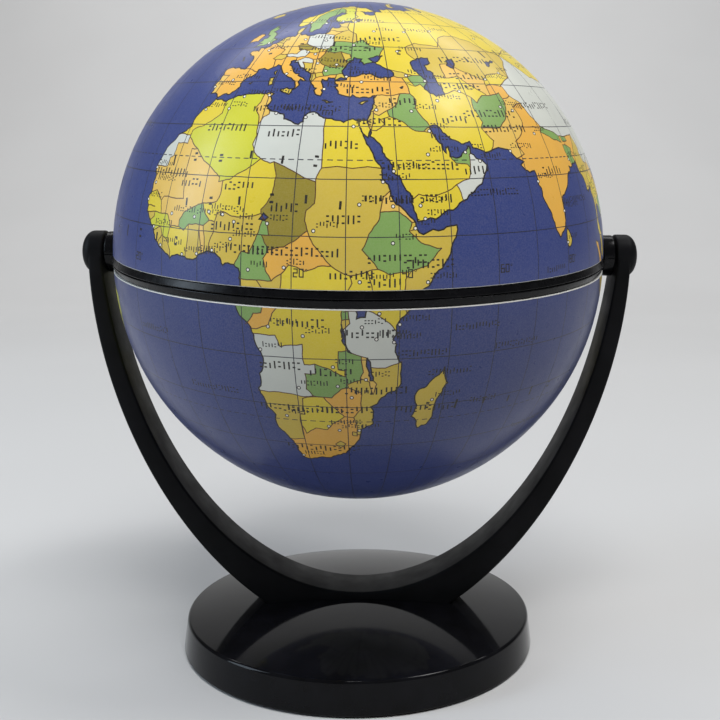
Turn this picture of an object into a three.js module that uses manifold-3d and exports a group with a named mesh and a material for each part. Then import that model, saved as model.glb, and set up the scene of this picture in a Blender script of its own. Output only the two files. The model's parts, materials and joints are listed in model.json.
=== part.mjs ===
// Swivel desk globe, about 13 cm tall: a ball of two printed hemispheres spins inside a slim
// equatorial ring, and the ring tilts end over end between the tips of a U-shaped fork that
// stands on a weighted round base.
//
// Millimetres, +Z up. The origin is the middle of the foot pad's underside, the pivot axis of the
// ring runs along X, and the front of the stand faces -Y.

import * as THREE from 'three';
import { mergeVertices } from 'three/addons/utils/BufferGeometryUtils.js';
import Module from 'manifold-3d';

const wasm = await Module();
wasm.setup();

// ---------------------------------------------------------------- driving dimensions

const FIT_GAP = 0.3; // between fixed neighbours
const THREAD_GAP = 0.2; // round a screw in the hole it bites into
const UNDERCUT = 0.1; // how far an inner rib stops short of the surface it meets
const CUT_PAST = 1; // how far a cutting tool runs on past the surface it cuts
const PIVOT_HEIGHT = 82;
const REST_TILT = THREE.MathUtils.degToRad(8); // how far the ring leans forward when it is set down

// facets of the round pieces
const SEGMENTS = 40;
const KNOB_SEGMENTS = 28;
const PIVOT_SEGMENTS = 24;
const BOSS_SEGMENTS = 20;
const SCREW_SEGMENTS = 16;
const BLIND_HOLE_SEGMENTS = 12;
const CURVE_SEGMENTS = 24;
const SIDE_CURVE_SEGMENTS = 20;
const KNOB_STEPS = 5;

// ball
const BALL_RADIUS = 50;
const BALL_SEGMENTS = 32;
const BALL_BANDS = 8;
const HEMISPHERE_LIFT = 0.7; // each hemisphere's own centre sits this far off the ring's mid-plane
const SKIN_THICKNESS = 0.15;
const SKIN_GAP = 0.1;
const SHELL_THICKNESS = 1.2;
const RIM_LIP = 0.25; // bare edge of the shell below the printed skin
const RIM_INSET = 0.02; // of that edge inside the ball's radius

// ring
const RING_HALF_HEIGHT = 1.35;
const RING_BORE = 44.7;
const RING_EDGE_RADIUS = 49.85;
const RING_RIDGE_RADIUS = 50.25; // at the parting line
const RING_CHAMFER = 0.15;
const PARTING_GAP = 0.16;
const RUNNING_GAP = 0.15; // ring to shell rim
const COLLAR_RADIUS = 4.3;
const COLLAR_START = 50.45;
const COLLAR_END = 52.9;
const NECK_START = 46.7; // the neck ties the collar into the ring from here
const NECK_INSET = 0.3; // of the neck inside the collar on each side
const STUB_RADIUS = 2;
const STUB_END = 56.3;

// fork
const KNOB_RADIUS = 4.45;
const KNOB_START = 53.3;
const KNOB_DOME_START = 55.7;
const KNOB_END = 58.1;
const KNOB_CHAMFER = 0.4;
const KNOB_FULLNESS = 0.8; // 1 is an elliptical dome, less is fuller
const SOCKET_RADIUS = 2.3;
const SOCKET_END = 56.7;
const FORK_FOOT_HALF_DEPTH = 5.6;
const FORK_FOOT_HEIGHT = 6;
const FORK_POINTS = 32;
const INNER_ARCH = { halfWidth: 54.3, drop: 85, rise: 14, power: 2 };
const OUTER_ARCH = { halfWidth: 56.1, drop: 80.3, rise: 0, power: 1.78 };

// base
const BASE_BOTTOM_RADIUS = 36.7;
const BASE_RIM_RADIUS = 36.05;
const BASE_RIM_HEIGHT = 6.7;
const BASE_EDGE_ROUND = 0.8;
const BASE_APEX_HEIGHT = 10;
const BASE_WALL = 1.6;
const SKIRT_BOTTOM = 0.4;
const SADDLE_WALL = 1.6;
const SADDLE_REACH = 24; // the saddle's walls meet the dome this far from the middle
const PAD = { radius: 33.6, thickness: 0.8 };
const PLATE = { radius: 34.3, bottom: 0.9, top: 2.3 };
const WEIGHT = { inner: 19.6, outer: 31.6, bottom: 2.6, top: 5.2 };

// fasteners
const PLATE_SCREWS = { count: 3, circle: 26.3, shank: 1, head: 2.1, tip: 6.4 };
const POST_RADIUS = 2.8;
const FORK_SCREWS = { offset: 8.5, shank: 1.2, head: 2.4, headHeight: 1.2, tip: 9.6 };
const HUB_SCREWS = { count: 3, circle: 21, shank: 1.2, head: 2.5, headHeight: 1.5, tip: -5 };

// discs that close the hemispheres, as heights above the ring's mid-plane
const HUB = {
  plateRadius: 47.9, plateBottom: 1.85, plateTop: 3.05, meeting: 0.1,
  spigot: 44.3, spigotWall: 1.5, boss: 3.6, tallBossTop: 6.25, clearHole: 1.55,
};

// ---------------------------------------------------------------- materials

const finish = (color, roughness, metalness = 0) =>
  new THREE.MeshStandardMaterial({ color, roughness, metalness });

const GLOSS_BLACK = finish(0x0b0b0c, 0.08);
const SATIN_BLACK = finish(0x1d1e20, 0.42);
const RING_BLACK = finish(0x151517, 0.25);
const INNER_BLACK = finish(0x26272a, 0.6);
const WHITE_PLASTIC = finish(0xe9e9e6, 0.4);
const PRINTED_SKIN = finish(0x4c5288, 0.3);
const FOAM = finish(0x2a2a2c, 0.95);
const IRON = finish(0x6c6e70, 0.6, 0.9);
const ZINC_SCREW = finish(0xb6b8ba, 0.35, 1);

// ---------------------------------------------------------------- shape helpers

const WELD_DISTANCE = 1e-4;

const point = (x, y) => new THREE.Vector2(x, y);

// Turns a profile of (radius, height) points round the Z axis. It runs counter-clockwise with the
// radius to the right: up the outside and back down the inside.
function turned(profile, segments = SEGMENTS) {
  return new THREE.LatheGeometry(profile, segments).rotateX(Math.PI / 2);
}

// A ring-shaped or solid disc between two heights.
function disc(outer, bottom, top, { inner = 0, segments = SEGMENTS } = {}) {
  const corners = [point(inner, bottom), point(outer, bottom), point(outer, top), point(inner, top)];
  if (inner > 0) corners.push(corners[0].clone());
  return turned(corners, segments);
}

// The same disc lying along X, from one distance to another on the side given by sign.
function discAlongX(outer, start, end, sign) {
  return disc(outer, start, end, { segments: PIVOT_SEGMENTS }).rotateY((sign * Math.PI) / 2);
}

function box(sizeX, sizeY, sizeZ, x, y, z) {
  return new THREE.BoxGeometry(sizeX, sizeY, sizeZ).translate(x, y, z);
}

// A shape drawn in X and Z, given a depth along Y with its middle at y = 0.
function slab(shape, depth) {
  const options = { depth, bevelEnabled: false, curveSegments: CURVE_SEGMENTS };
  return new THREE.ExtrudeGeometry(shape, options).translate(0, 0, -depth / 2).rotateX(Math.PI / 2);
}

function solid(geometry) {
  const bare = geometry.clone();
  bare.deleteAttribute('normal');
  bare.deleteAttribute('uv');
  const merged = mergeVertices(bare, WELD_DISTANCE);
  return new wasm.Manifold(new wasm.Mesh({
    numProp: 3,
    vertProperties: new Float32Array(merged.attributes.position.array),
    triVerts: new Uint32Array(merged.index.array),
  }));
}

function geometryOf(manifold) {
  const { vertProperties, triVerts } = manifold.getMesh();
  const geometry = new THREE.BufferGeometry();
  geometry.setAttribute('position', new THREE.BufferAttribute(new Float32Array(vertProperties), 3));
  geometry.setIndex(new THREE.BufferAttribute(new Uint32Array(triVerts), 1));
  geometry.computeVertexNormals();
  return geometry;
}

const joined = (manifold, geometry) => manifold.add(solid(geometry));
const cut = (manifold, geometry) => manifold.subtract(solid(geometry));

function named(name, geometry, material) {
  const mesh = new THREE.Mesh(geometry, material);
  mesh.name = name;
  return mesh;
}

// Places spaced evenly on a circle, the first one at the back.
function circlePlaces({ count, circle }) {
  return Array.from({ length: count }, (_, index) => {
    const angle = Math.PI / 2 + (index * 2 * Math.PI) / count;
    return [circle * Math.cos(angle), circle * Math.sin(angle)];
  });
}

// ---------------------------------------------------------------- fork and base outlines

// Point of a fork arch in X and Z. The angle runs from 0 on the right to PI on the left.
function archPoint({ halfWidth, drop, rise, power }, angle) {
  const across = Math.cos(angle);
  const down = Math.abs(Math.sin(angle));
  const x = halfWidth * Math.sign(across) * Math.abs(across) ** (2 / power);
  return point(x, PIVOT_HEIGHT + rise - drop * down ** (2 / power));
}

function archPoints(arch, start = 0) {
  return Array.from({ length: FORK_POINTS + 1 }, (_, index) =>
    archPoint(arch, start + ((Math.PI - 2 * start) * index) / FORK_POINTS));
}

function forkOutline() {
  const top = PIVOT_HEIGHT + KNOB_RADIUS;
  const outer = archPoints(OUTER_ARCH);
  const innerStart = Math.asin((INNER_ARCH.rise - KNOB_RADIUS) / INNER_ARCH.drop);
  const inner = archPoints(INNER_ARCH, innerStart).reverse();
  return new THREE.Shape([
    point(OUTER_ARCH.halfWidth, top), ...outer, point(-OUTER_ARCH.halfWidth, top), ...inner,
  ]);
}

// Side view of the fork in Y and Z: a flat foot, a slight taper and round tips about the pivot.
function forkSideOutline() {
  const shape = new THREE.Shape();
  shape.moveTo(-FORK_FOOT_HALF_DEPTH, FORK_FOOT_HEIGHT);
  shape.lineTo(FORK_FOOT_HALF_DEPTH, FORK_FOOT_HEIGHT);
  shape.lineTo(KNOB_RADIUS, PIVOT_HEIGHT);
  shape.absarc(0, PIVOT_HEIGHT, KNOB_RADIUS, 0, Math.PI, false);
  shape.closePath();
  return shape;
}

// The space inside the fork's outer arch, widened by a clearance, from a floor up to a ceiling.
function saddle(clearance, floor, ceiling, depth) {
  const widened = {
    ...OUTER_ARCH,
    halfWidth: OUTER_ARCH.halfWidth + clearance,
    drop: OUTER_ARCH.drop + clearance,
  };
  const arch = solid(slab(new THREE.Shape(archPoints(widened)), depth));
  const width = 2 * OUTER_ARCH.halfWidth;
  return arch.intersect(solid(box(width, depth, ceiling - floor, 0, 0, (ceiling + floor) / 2)));
}

function domeHeight(radius) {
  const edge = BASE_RIM_RADIUS - BASE_EDGE_ROUND;
  const rise = BASE_APEX_HEIGHT - BASE_RIM_HEIGHT;
  const domeRadius = (edge ** 2 + rise ** 2) / (2 * rise);
  return BASE_APEX_HEIGHT - domeRadius + Math.sqrt(domeRadius ** 2 - radius ** 2);
}

// ---------------------------------------------------------------- stand

// The cover alone, before its saddle and screw posts: a dome, a rounded rim and a flared skirt.
function coverShell() {
  const edge = BASE_RIM_RADIUS - BASE_EDGE_ROUND;
  const under = edge - BASE_WALL;
  const shares = [1, 0.75, 0.5, 0.25, 0];
  const rim = [0.25, 0.5, 0.75].map((share) => {
    const angle = (share * Math.PI) / 2;
    return point(edge + BASE_EDGE_ROUND * Math.cos(angle),
      BASE_RIM_HEIGHT - BASE_EDGE_ROUND * (1 - Math.sin(angle)));
  });
  return solid(turned([
    ...shares.toReversed().map((share) => point(under * share, domeHeight(under * share) - BASE_WALL)),
    point(BASE_BOTTOM_RADIUS - BASE_WALL, SKIRT_BOTTOM),
    point(BASE_BOTTOM_RADIUS, SKIRT_BOTTOM),
    point(BASE_RIM_RADIUS, BASE_RIM_HEIGHT - BASE_EDGE_ROUND),
    ...rim,
    ...shares.map((share) => point(edge * share, domeHeight(edge * share))),
  ]));
}

function baseCover() {
  const floor = FORK_FOOT_HEIGHT - FIT_GAP;
  const pocketDepth = 2 * (FORK_FOOT_HALF_DEPTH + FIT_GAP);
  const pocket = saddle(FIT_GAP, floor, BASE_APEX_HEIGHT + CUT_PAST, pocketDepth);
  const wallTop = domeHeight(SADDLE_REACH) - UNDERCUT;
  const walls = saddle(FIT_GAP + SADDLE_WALL, floor - SADDLE_WALL, wallTop, pocketDepth + 2 * SADDLE_WALL);
  let cover = coverShell().add(walls).subtract(pocket);
  const underside = domeHeight(PLATE_SCREWS.circle) - BASE_WALL / 2;
  const post = disc(POST_RADIUS, PLATE.top + FIT_GAP, underside, { segments: BOSS_SEGMENTS });
  const plateHole = disc(PLATE_SCREWS.shank + THREAD_GAP, PLATE.top, PLATE_SCREWS.tip + FIT_GAP,
    { segments: BLIND_HOLE_SEGMENTS });
  for (const [x, y] of circlePlaces(PLATE_SCREWS)) {
    cover = joined(cover, post.clone().translate(x, y, 0));
    cover = cut(cover, plateHole.clone().translate(x, y, 0));
  }
  const forkHole = disc(FORK_SCREWS.shank + FIT_GAP, floor - SADDLE_WALL - CUT_PAST, floor + CUT_PAST,
    { segments: SCREW_SEGMENTS });
  for (const side of [-1, 1]) {
    cover = cut(cover, forkHole.clone().translate(side * FORK_SCREWS.offset, 0, 0));
  }
  return named('base_cover', geometryOf(cover), GLOSS_BLACK);
}

function steelWeight() {
  let weight = solid(disc(WEIGHT.outer, WEIGHT.bottom, WEIGHT.top, { inner: WEIGHT.inner }));
  const hole = disc(POST_RADIUS + FIT_GAP, WEIGHT.bottom - CUT_PAST, WEIGHT.top + CUT_PAST,
    { segments: BOSS_SEGMENTS });
  for (const [x, y] of circlePlaces(PLATE_SCREWS)) {
    weight = cut(weight, hole.clone().translate(x, y, 0));
  }
  return named('steel_weight', geometryOf(weight), IRON);
}

// Cone and shank of a countersunk screw, grown by a clearance, from the head's rim to the tip.
function countersunkOutline(tip, clearance) {
  const { head, shank } = PLATE_SCREWS;
  return [
    point(head + clearance, PLATE.bottom), point(shank + clearance, PLATE.bottom + head - shank),
    point(shank + clearance, tip), point(0, tip),
  ];
}

function bottomPlate() {
  let plate = solid(disc(PLATE.radius, PLATE.bottom, PLATE.top));
  const below = PLATE.bottom - CUT_PAST;
  const hole = turned([
    point(0, below), point(PLATE_SCREWS.head + FIT_GAP, below),
    ...countersunkOutline(PLATE.top + CUT_PAST, FIT_GAP),
  ], SCREW_SEGMENTS);
  for (const [x, y] of circlePlaces(PLATE_SCREWS)) {
    plate = cut(plate, hole.clone().translate(x, y, 0));
  }
  return named('bottom_plate', geometryOf(plate), INNER_BLACK);
}

function plateScrews() {
  const body = turned([point(0, PLATE.bottom), ...countersunkOutline(PLATE_SCREWS.tip, 0)], SCREW_SEGMENTS);
  return circlePlaces(PLATE_SCREWS).map(([x, y], index) => {
    const screw = named(`plate_screw_${index + 1}`, body.clone(), ZINC_SCREW);
    screw.position.set(x, y, 0);
    return screw;
  });
}

function footPad() {
  return named('foot_pad', disc(PAD.radius, 0, PAD.thickness), FOAM);
}

function fork() {
  const side = new THREE.ExtrudeGeometry(forkSideOutline(), {
    depth: 2 * KNOB_END, bevelEnabled: false, curveSegments: SIDE_CURVE_SEGMENTS,
  });
  // drawn in X and Y, stood up so that the drawing lies in Y and Z
  side.translate(0, 0, -KNOB_END).rotateX(Math.PI / 2).rotateZ(Math.PI / 2);
  let body = solid(slab(forkOutline(), 4 * FORK_FOOT_HALF_DEPTH)).intersect(solid(side));
  const screwHole = disc(FORK_SCREWS.shank + THREAD_GAP, FORK_FOOT_HEIGHT - CUT_PAST,
    FORK_SCREWS.tip + FIT_GAP, { segments: SCREW_SEGMENTS });
  for (const sign of [-1, 1]) {
    const socket = discAlongX(SOCKET_RADIUS, COLLAR_END, SOCKET_END, sign);
    body = joined(body, knob(sign));
    body = cut(body, socket.translate(0, 0, PIVOT_HEIGHT));
    body = cut(body, screwHole.clone().translate(sign * FORK_SCREWS.offset, 0, 0));
  }
  return named('fork', geometryOf(body), SATIN_BLACK);
}

// Domed boss on a fork tip. Its flat face is towards the ball.
function knob(sign) {
  const domeLength = KNOB_END - KNOB_DOME_START;
  const dome = Array.from({ length: KNOB_STEPS }, (_, step) => {
    const angle = (step * Math.PI) / (2 * KNOB_STEPS);
    return point(KNOB_RADIUS * Math.cos(angle) ** KNOB_FULLNESS,
      KNOB_DOME_START + domeLength * Math.sin(angle));
  });
  const profile = [
    point(0, KNOB_START), point(KNOB_RADIUS - KNOB_CHAMFER, KNOB_START),
    point(KNOB_RADIUS, KNOB_START + KNOB_CHAMFER), ...dome, point(0, KNOB_END),
  ];
  return turned(profile, KNOB_SEGMENTS).rotateY((sign * Math.PI) / 2).translate(0, 0, PIVOT_HEIGHT);
}

function forkScrews() {
  const headTop = FORK_FOOT_HEIGHT - FIT_GAP - SADDLE_WALL - FIT_GAP;
  const { shank, head, headHeight, tip, offset } = FORK_SCREWS;
  return [['left', -1], ['right', 1]].map(([side, sign]) => {
    const body = turned([
      point(0, headTop - headHeight), point(head, headTop - headHeight), point(head, headTop),
      point(shank, headTop), point(shank, tip), point(0, tip),
    ], SCREW_SEGMENTS);
    const screw = named(`fork_screw_${side}`, body, ZINC_SCREW);
    screw.position.x = sign * offset;
    return screw;
  });
}

// ---------------------------------------------------------------- ring

// Upper half of the ring about its own centre; the lower half is this one turned over.
function ringHalf() {
  const low = PARTING_GAP / 2;
  let half = solid(turned([
    point(RING_BORE, low), point(RING_RIDGE_RADIUS, low),
    point(RING_EDGE_RADIUS, RING_HALF_HEIGHT - RING_CHAMFER),
    point(RING_EDGE_RADIUS - RING_CHAMFER, RING_HALF_HEIGHT), point(RING_BORE, RING_HALF_HEIGHT),
    point(RING_BORE, low),
  ]));
  const above = solid(box(2 * KNOB_END, 2 * KNOB_END, COLLAR_RADIUS + CUT_PAST,
    0, 0, low + (COLLAR_RADIUS + CUT_PAST) / 2));
  for (const sign of [-1, 1]) {
    const neck = box(COLLAR_END - NECK_START, 2 * (COLLAR_RADIUS - NECK_INSET), RING_HALF_HEIGHT - low,
      (sign * (COLLAR_END + NECK_START)) / 2, 0, (RING_HALF_HEIGHT + low) / 2);
    const collar = solid(discAlongX(COLLAR_RADIUS, COLLAR_START, COLLAR_END, sign));
    const stub = solid(discAlongX(STUB_RADIUS, COLLAR_START, STUB_END, sign));
    half = joined(half, neck).add(collar.add(stub).intersect(above));
  }
  return half;
}

function ringHalves() {
  const upper = geometryOf(ringHalf());
  const lower = upper.clone().rotateX(Math.PI);
  return [named('ring_upper_half', upper, RING_BLACK), named('ring_lower_half', lower, RING_BLACK)];
}

// ---------------------------------------------------------------- ball

// Points on a hemisphere's quarter circle, from a height above the ring's mid-plane to the pole.
function quarterCircle(radius, height) {
  const start = Math.asin((height - HEMISPHERE_LIFT) / radius);
  return Array.from({ length: BALL_BANDS + 1 }, (_, index) => {
    const angle = start + ((Math.PI / 2 - start) * index) / BALL_BANDS;
    return point(index === BALL_BANDS ? 0 : radius * Math.cos(angle),
      HEMISPHERE_LIFT + radius * Math.sin(angle));
  });
}

const RIM_HEIGHT = RING_HALF_HEIGHT + RUNNING_GAP;

function shellGeometry() {
  const outer = BALL_RADIUS - SKIN_THICKNESS - SKIN_GAP;
  const inner = outer - SHELL_THICKNESS;
  const lipRadius = BALL_RADIUS - RIM_INSET;
  const lipTop = RIM_HEIGHT + RIM_LIP;
  return turned([
    ...quarterCircle(inner, RIM_HEIGHT).reverse(),
    point(lipRadius, RIM_HEIGHT), point(lipRadius, lipTop),
    ...quarterCircle(outer, lipTop),
  ], BALL_SEGMENTS);
}

function skinGeometry() {
  const bottom = RIM_HEIGHT + RIM_LIP + SKIN_GAP / 2;
  return turned([
    ...quarterCircle(BALL_RADIUS - SKIN_THICKNESS, bottom).reverse(),
    ...quarterCircle(BALL_RADIUS, bottom),
  ], BALL_SEGMENTS);
}

// Disc that closes a hemisphere. Its spigot turns in the ring's bore, and bosses take the screws.
function hubDisc(holeRadius, bossTop) {
  const { plateRadius, plateBottom, plateTop, meeting, spigot, spigotWall, boss } = HUB;
  let hub = joined(solid(disc(plateRadius, plateBottom, plateTop)),
    disc(spigot, meeting, plateTop - 2 * UNDERCUT, { inner: spigot - spigotWall }));
  for (const [x, y] of circlePlaces(HUB_SCREWS)) {
    const pillar = disc(boss, meeting, bossTop, { segments: BOSS_SEGMENTS });
    const hole = disc(holeRadius, meeting - CUT_PAST, bossTop + CUT_PAST, { segments: SCREW_SEGMENTS });
    hub = joined(hub, pillar.translate(x, y, 0));
    hub = cut(hub, hole.translate(x, y, 0));
  }
  return geometryOf(hub);
}

function hubScrews() {
  const { shank, head, headHeight, tip } = HUB_SCREWS;
  const seat = HUB.plateTop + FIT_GAP;
  return circlePlaces(HUB_SCREWS).map(([x, y], index) => {
    const body = turned([
      point(0, tip), point(shank, tip), point(shank, seat), point(head, seat),
      point(head, seat + headHeight), point(0, seat + headHeight),
    ], SCREW_SEGMENTS);
    const screw = named(`hub_screw_${index + 1}`, body, ZINC_SCREW);
    screw.position.set(x, y, 0);
    return screw;
  });
}

// The southern pieces are made like the northern ones and turned over about Y, which keeps the
// screw circle in line.
function ball() {
  const turnedOver = (geometry) => geometry.clone().rotateY(Math.PI);
  const shell = shellGeometry();
  const skin = skinGeometry();
  const clearHub = hubDisc(HUB.clearHole, HUB.plateTop);
  const threadedHub = hubDisc(HUB_SCREWS.shank + THREAD_GAP, HUB.tallBossTop);
  return [
    named('north_shell', shell, WHITE_PLASTIC),
    named('south_shell', turnedOver(shell), WHITE_PLASTIC),
    named('north_map_skin', skin, PRINTED_SKIN),
    named('south_map_skin', turnedOver(skin), PRINTED_SKIN),
    named('north_hub_disc', clearHub, WHITE_PLASTIC),
    named('south_hub_disc', turnedOver(threadedHub), WHITE_PLASTIC),
    ...hubScrews(),
  ];
}

// ---------------------------------------------------------------- assembly

const stand = new THREE.Group();
stand.add(baseCover(), steelWeight(), bottomPlate(), ...plateScrews(), footPad(), fork(), ...forkScrews());

const swivel = new THREE.Group();
swivel.position.z = PIVOT_HEIGHT;
swivel.rotation.x = REST_TILT;
swivel.add(...ringHalves(), ...ball());

const globe = new THREE.Group();
globe.name = 'swivel_globe';
globe.add(stand, swivel);

export default globe;
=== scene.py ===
# Looks of the swivel desk globe: printed map skins, gloss base, satin fork and the slim ring.
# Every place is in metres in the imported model's frame. Local sizes are millimetres times MM.

import json
import math
import random

import bmesh
import bpy
from mathutils import Matrix, Vector
from mathutils.geometry import delaunay_2d_cdt
import numpy as np


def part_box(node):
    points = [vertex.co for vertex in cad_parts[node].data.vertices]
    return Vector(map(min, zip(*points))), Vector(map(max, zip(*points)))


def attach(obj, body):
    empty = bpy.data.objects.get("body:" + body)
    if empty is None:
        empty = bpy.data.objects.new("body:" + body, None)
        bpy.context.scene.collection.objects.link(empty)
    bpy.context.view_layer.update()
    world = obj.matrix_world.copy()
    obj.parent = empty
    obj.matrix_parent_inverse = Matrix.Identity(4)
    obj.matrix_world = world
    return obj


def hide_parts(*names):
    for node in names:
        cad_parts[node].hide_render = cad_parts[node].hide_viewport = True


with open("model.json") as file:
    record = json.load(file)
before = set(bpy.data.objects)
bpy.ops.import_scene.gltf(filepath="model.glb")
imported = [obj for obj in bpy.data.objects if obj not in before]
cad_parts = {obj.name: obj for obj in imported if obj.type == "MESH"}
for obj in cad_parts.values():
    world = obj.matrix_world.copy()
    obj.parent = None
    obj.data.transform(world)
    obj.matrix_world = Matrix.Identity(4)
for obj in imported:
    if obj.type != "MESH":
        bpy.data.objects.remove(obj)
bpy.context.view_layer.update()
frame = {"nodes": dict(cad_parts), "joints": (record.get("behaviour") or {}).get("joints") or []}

MM = 0.001
TAU = 2 * math.pi
TINY = 1e-7

# ---------------------------------------------------------------- places taken from the frame

JOINTS = {joint["name"]: joint for joint in frame["joints"]}
PIVOT = Vector(JOINTS["ring_tilt"]["pos_m"])
SPIN_AXIS = Vector(JOINTS["globe_spin"]["axis"])
REST_TILT = math.atan2(-SPIN_AXIS.y, SPIN_AXIS.z)
# from the ring's own frame, upright about its centre, to the row frame
RING_FRAME = Matrix.Translation(PIVOT) @ Matrix.Rotation(REST_TILT, 4, "X")

BALL_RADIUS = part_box("north_map_skin")[1].x
KNOB_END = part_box("fork")[1].x
STUB_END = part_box("ring_upper_half")[1].x
BASE_BOTTOM_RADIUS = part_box("base_cover")[1].x
BASE_APEX_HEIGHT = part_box("base_cover")[1].z
SKIRT_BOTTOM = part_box("base_cover")[0].z
FORK_FOOT_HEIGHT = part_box("fork")[0].z
FORK_FOOT_HALF_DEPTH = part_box("fork")[1].y
KNOB_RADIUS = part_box("fork")[1].z - PIVOT.z

# ball and ring
HEMISPHERE_LIFT = 0.7 * MM
SKIN_THICKNESS = 0.15 * MM
SKIN_GAP = 0.1 * MM
SHELL_THICKNESS = 1.2 * MM
RIM_HEIGHT = 1.5 * MM
SKIN_BOTTOM = {1: 1.6 * MM, -1: 1.68 * MM}  # above the ring's mid-plane, by hemisphere
RING_BORE = 44.7 * MM
RING_HALF_HEIGHT = 1.35 * MM
RING_EDGE_RADIUS = 49.85 * MM
RING_RIDGE_RADIUS = 50.25 * MM
PARTING_HALF_GAP = 0.08 * MM
COLLAR_RADIUS = 4.3 * MM
COLLAR_START = 50.45 * MM
COLLAR_END = 52.9 * MM
STUB_RADIUS = 2 * MM

# fork and base
KNOB_START = 53.3 * MM
KNOB_DOME_START = 55.7 * MM
SOCKET_RADIUS = 2.3 * MM
SOCKET_END = 56.7 * MM
INNER_ARCH = {"half_width": 54.3 * MM, "drop": 85 * MM, "rise": 14 * MM, "power": 2}
OUTER_ARCH = {"half_width": 56.1 * MM, "drop": 80.3 * MM, "rise": 0, "power": 1.78}
BASE_RIM_RADIUS = 36.05 * MM
BASE_RIM_HEIGHT = 6.7 * MM
BASE_EDGE_ROUND = 0.8 * MM
BASE_WALL = 1.6 * MM
SADDLE_GAP = 0.2 * MM
DOME_THICKNESS = 4 * MM
DOME_EDGE = BASE_RIM_RADIUS - BASE_EDGE_ROUND
DOME_RISE = BASE_APEX_HEIGHT - BASE_RIM_HEIGHT
DOME_RADIUS = (DOME_EDGE ** 2 + DOME_RISE ** 2) / (2 * DOME_RISE)
DOME_CENTRE = Vector((0, 0, BASE_APEX_HEIGHT - DOME_RADIUS))

# ---------------------------------------------------------------- mesh helpers


def add_object(name, mesh, body, replaced=()):
    """Links a finished mesh as a piece that rides on a body and stands for CAD nodes."""
    piece = bpy.data.objects.new(name, mesh)
    bpy.context.scene.collection.objects.link(piece)
    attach(piece, body)
    if replaced:
        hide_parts(*replaced)


def arc(centre_r, centre_z, radius, start, end, steps=8):
    """Points of a round corner in a (radius, height) profile, with its angles in degrees."""
    angles = [math.radians(start + (end - start) * step / steps) for step in range(steps + 1)]
    return [(centre_r + radius * math.cos(a), centre_z + radius * math.sin(a)) for a in angles]


def turned(profile, segments=192):
    """Bmesh of a (radius, height) profile turned round Z. Points on the axis become one vertex.
    The profile runs counter-clockwise with the radius to the right, closed or from axis to axis."""
    made = bmesh.new()
    rings = []
    for radius, height in profile:
        if radius < TINY:
            rings.append([made.verts.new((0, 0, height))])
            continue
        angles = [TAU * index / segments for index in range(segments)]
        rings.append([made.verts.new((radius * math.cos(a), radius * math.sin(a), height))
                      for a in angles])
    open_ended = len(rings[0]) == 1 and len(rings[-1]) == 1
    pairs = list(zip(rings, rings[1:])) + ([] if open_ended else [(rings[-1], rings[0])])
    for low, high in pairs:
        for index in range(segments):
            after = (index + 1) % segments
            corners = [low[index % len(low)], low[after % len(low)],
                       high[after % len(high)], high[index % len(high)]]
            corners = list(dict.fromkeys(corners))
            if len(corners) > 2:
                made.faces.new(corners)
    return made


def mesh_of(made, name, matrix=Matrix.Identity(4), sharp_angle=35):
    """Turns a bmesh into a smooth mesh with sharp edges above an angle in degrees."""
    bmesh.ops.transform(made, matrix=matrix, verts=made.verts)
    bmesh.ops.recalc_face_normals(made, faces=made.faces)
    mesh = bpy.data.meshes.new(name)
    made.to_mesh(mesh)
    made.free()
    mesh.shade_smooth()
    mesh.set_sharp_from_angle(angle=math.radians(sharp_angle))
    return mesh


def combined(base, *steps):
    """Applies (operation, bmesh) steps to a bmesh with exact booleans and returns a bmesh."""
    holder = bpy.data.objects.new("boolean_base", mesh_of(base, "boolean_base"))
    bpy.context.scene.collection.objects.link(holder)
    tools = []
    for operation, other in steps:
        tool = bpy.data.objects.new("boolean_tool", mesh_of(other, "boolean_tool"))
        bpy.context.scene.collection.objects.link(tool)
        tools.append(tool)
        modifier = holder.modifiers.new(operation, "BOOLEAN")
        modifier.operation = operation
        modifier.object = tool
        modifier.solver = "EXACT"
    made = bmesh.new()
    made.from_object(holder, bpy.context.evaluated_depsgraph_get())
    for thing in [holder, *tools]:
        bpy.data.objects.remove(thing)
    bmesh.ops.remove_doubles(made, verts=made.verts, dist=TINY)
    return made


def block(low, high):
    """Box between two corners, for use as a boolean tool."""
    made = bmesh.new()
    bmesh.ops.create_cube(made, size=1)
    low, high = Vector(low), Vector(high)
    matrix = Matrix.Translation((low + high) / 2) @ Matrix.Diagonal((*(high - low), 1))
    bmesh.ops.transform(made, matrix=matrix, verts=made.verts)
    return made


def laid_along_x(made, side):
    """Turns a bmesh made round Z so that it lies along X, outwards on one side."""
    bmesh.ops.transform(made, matrix=Matrix.Rotation(side * TAU / 4, 4, "Y"), verts=made.verts)
    return made


# ---------------------------------------------------------------- material helpers


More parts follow.
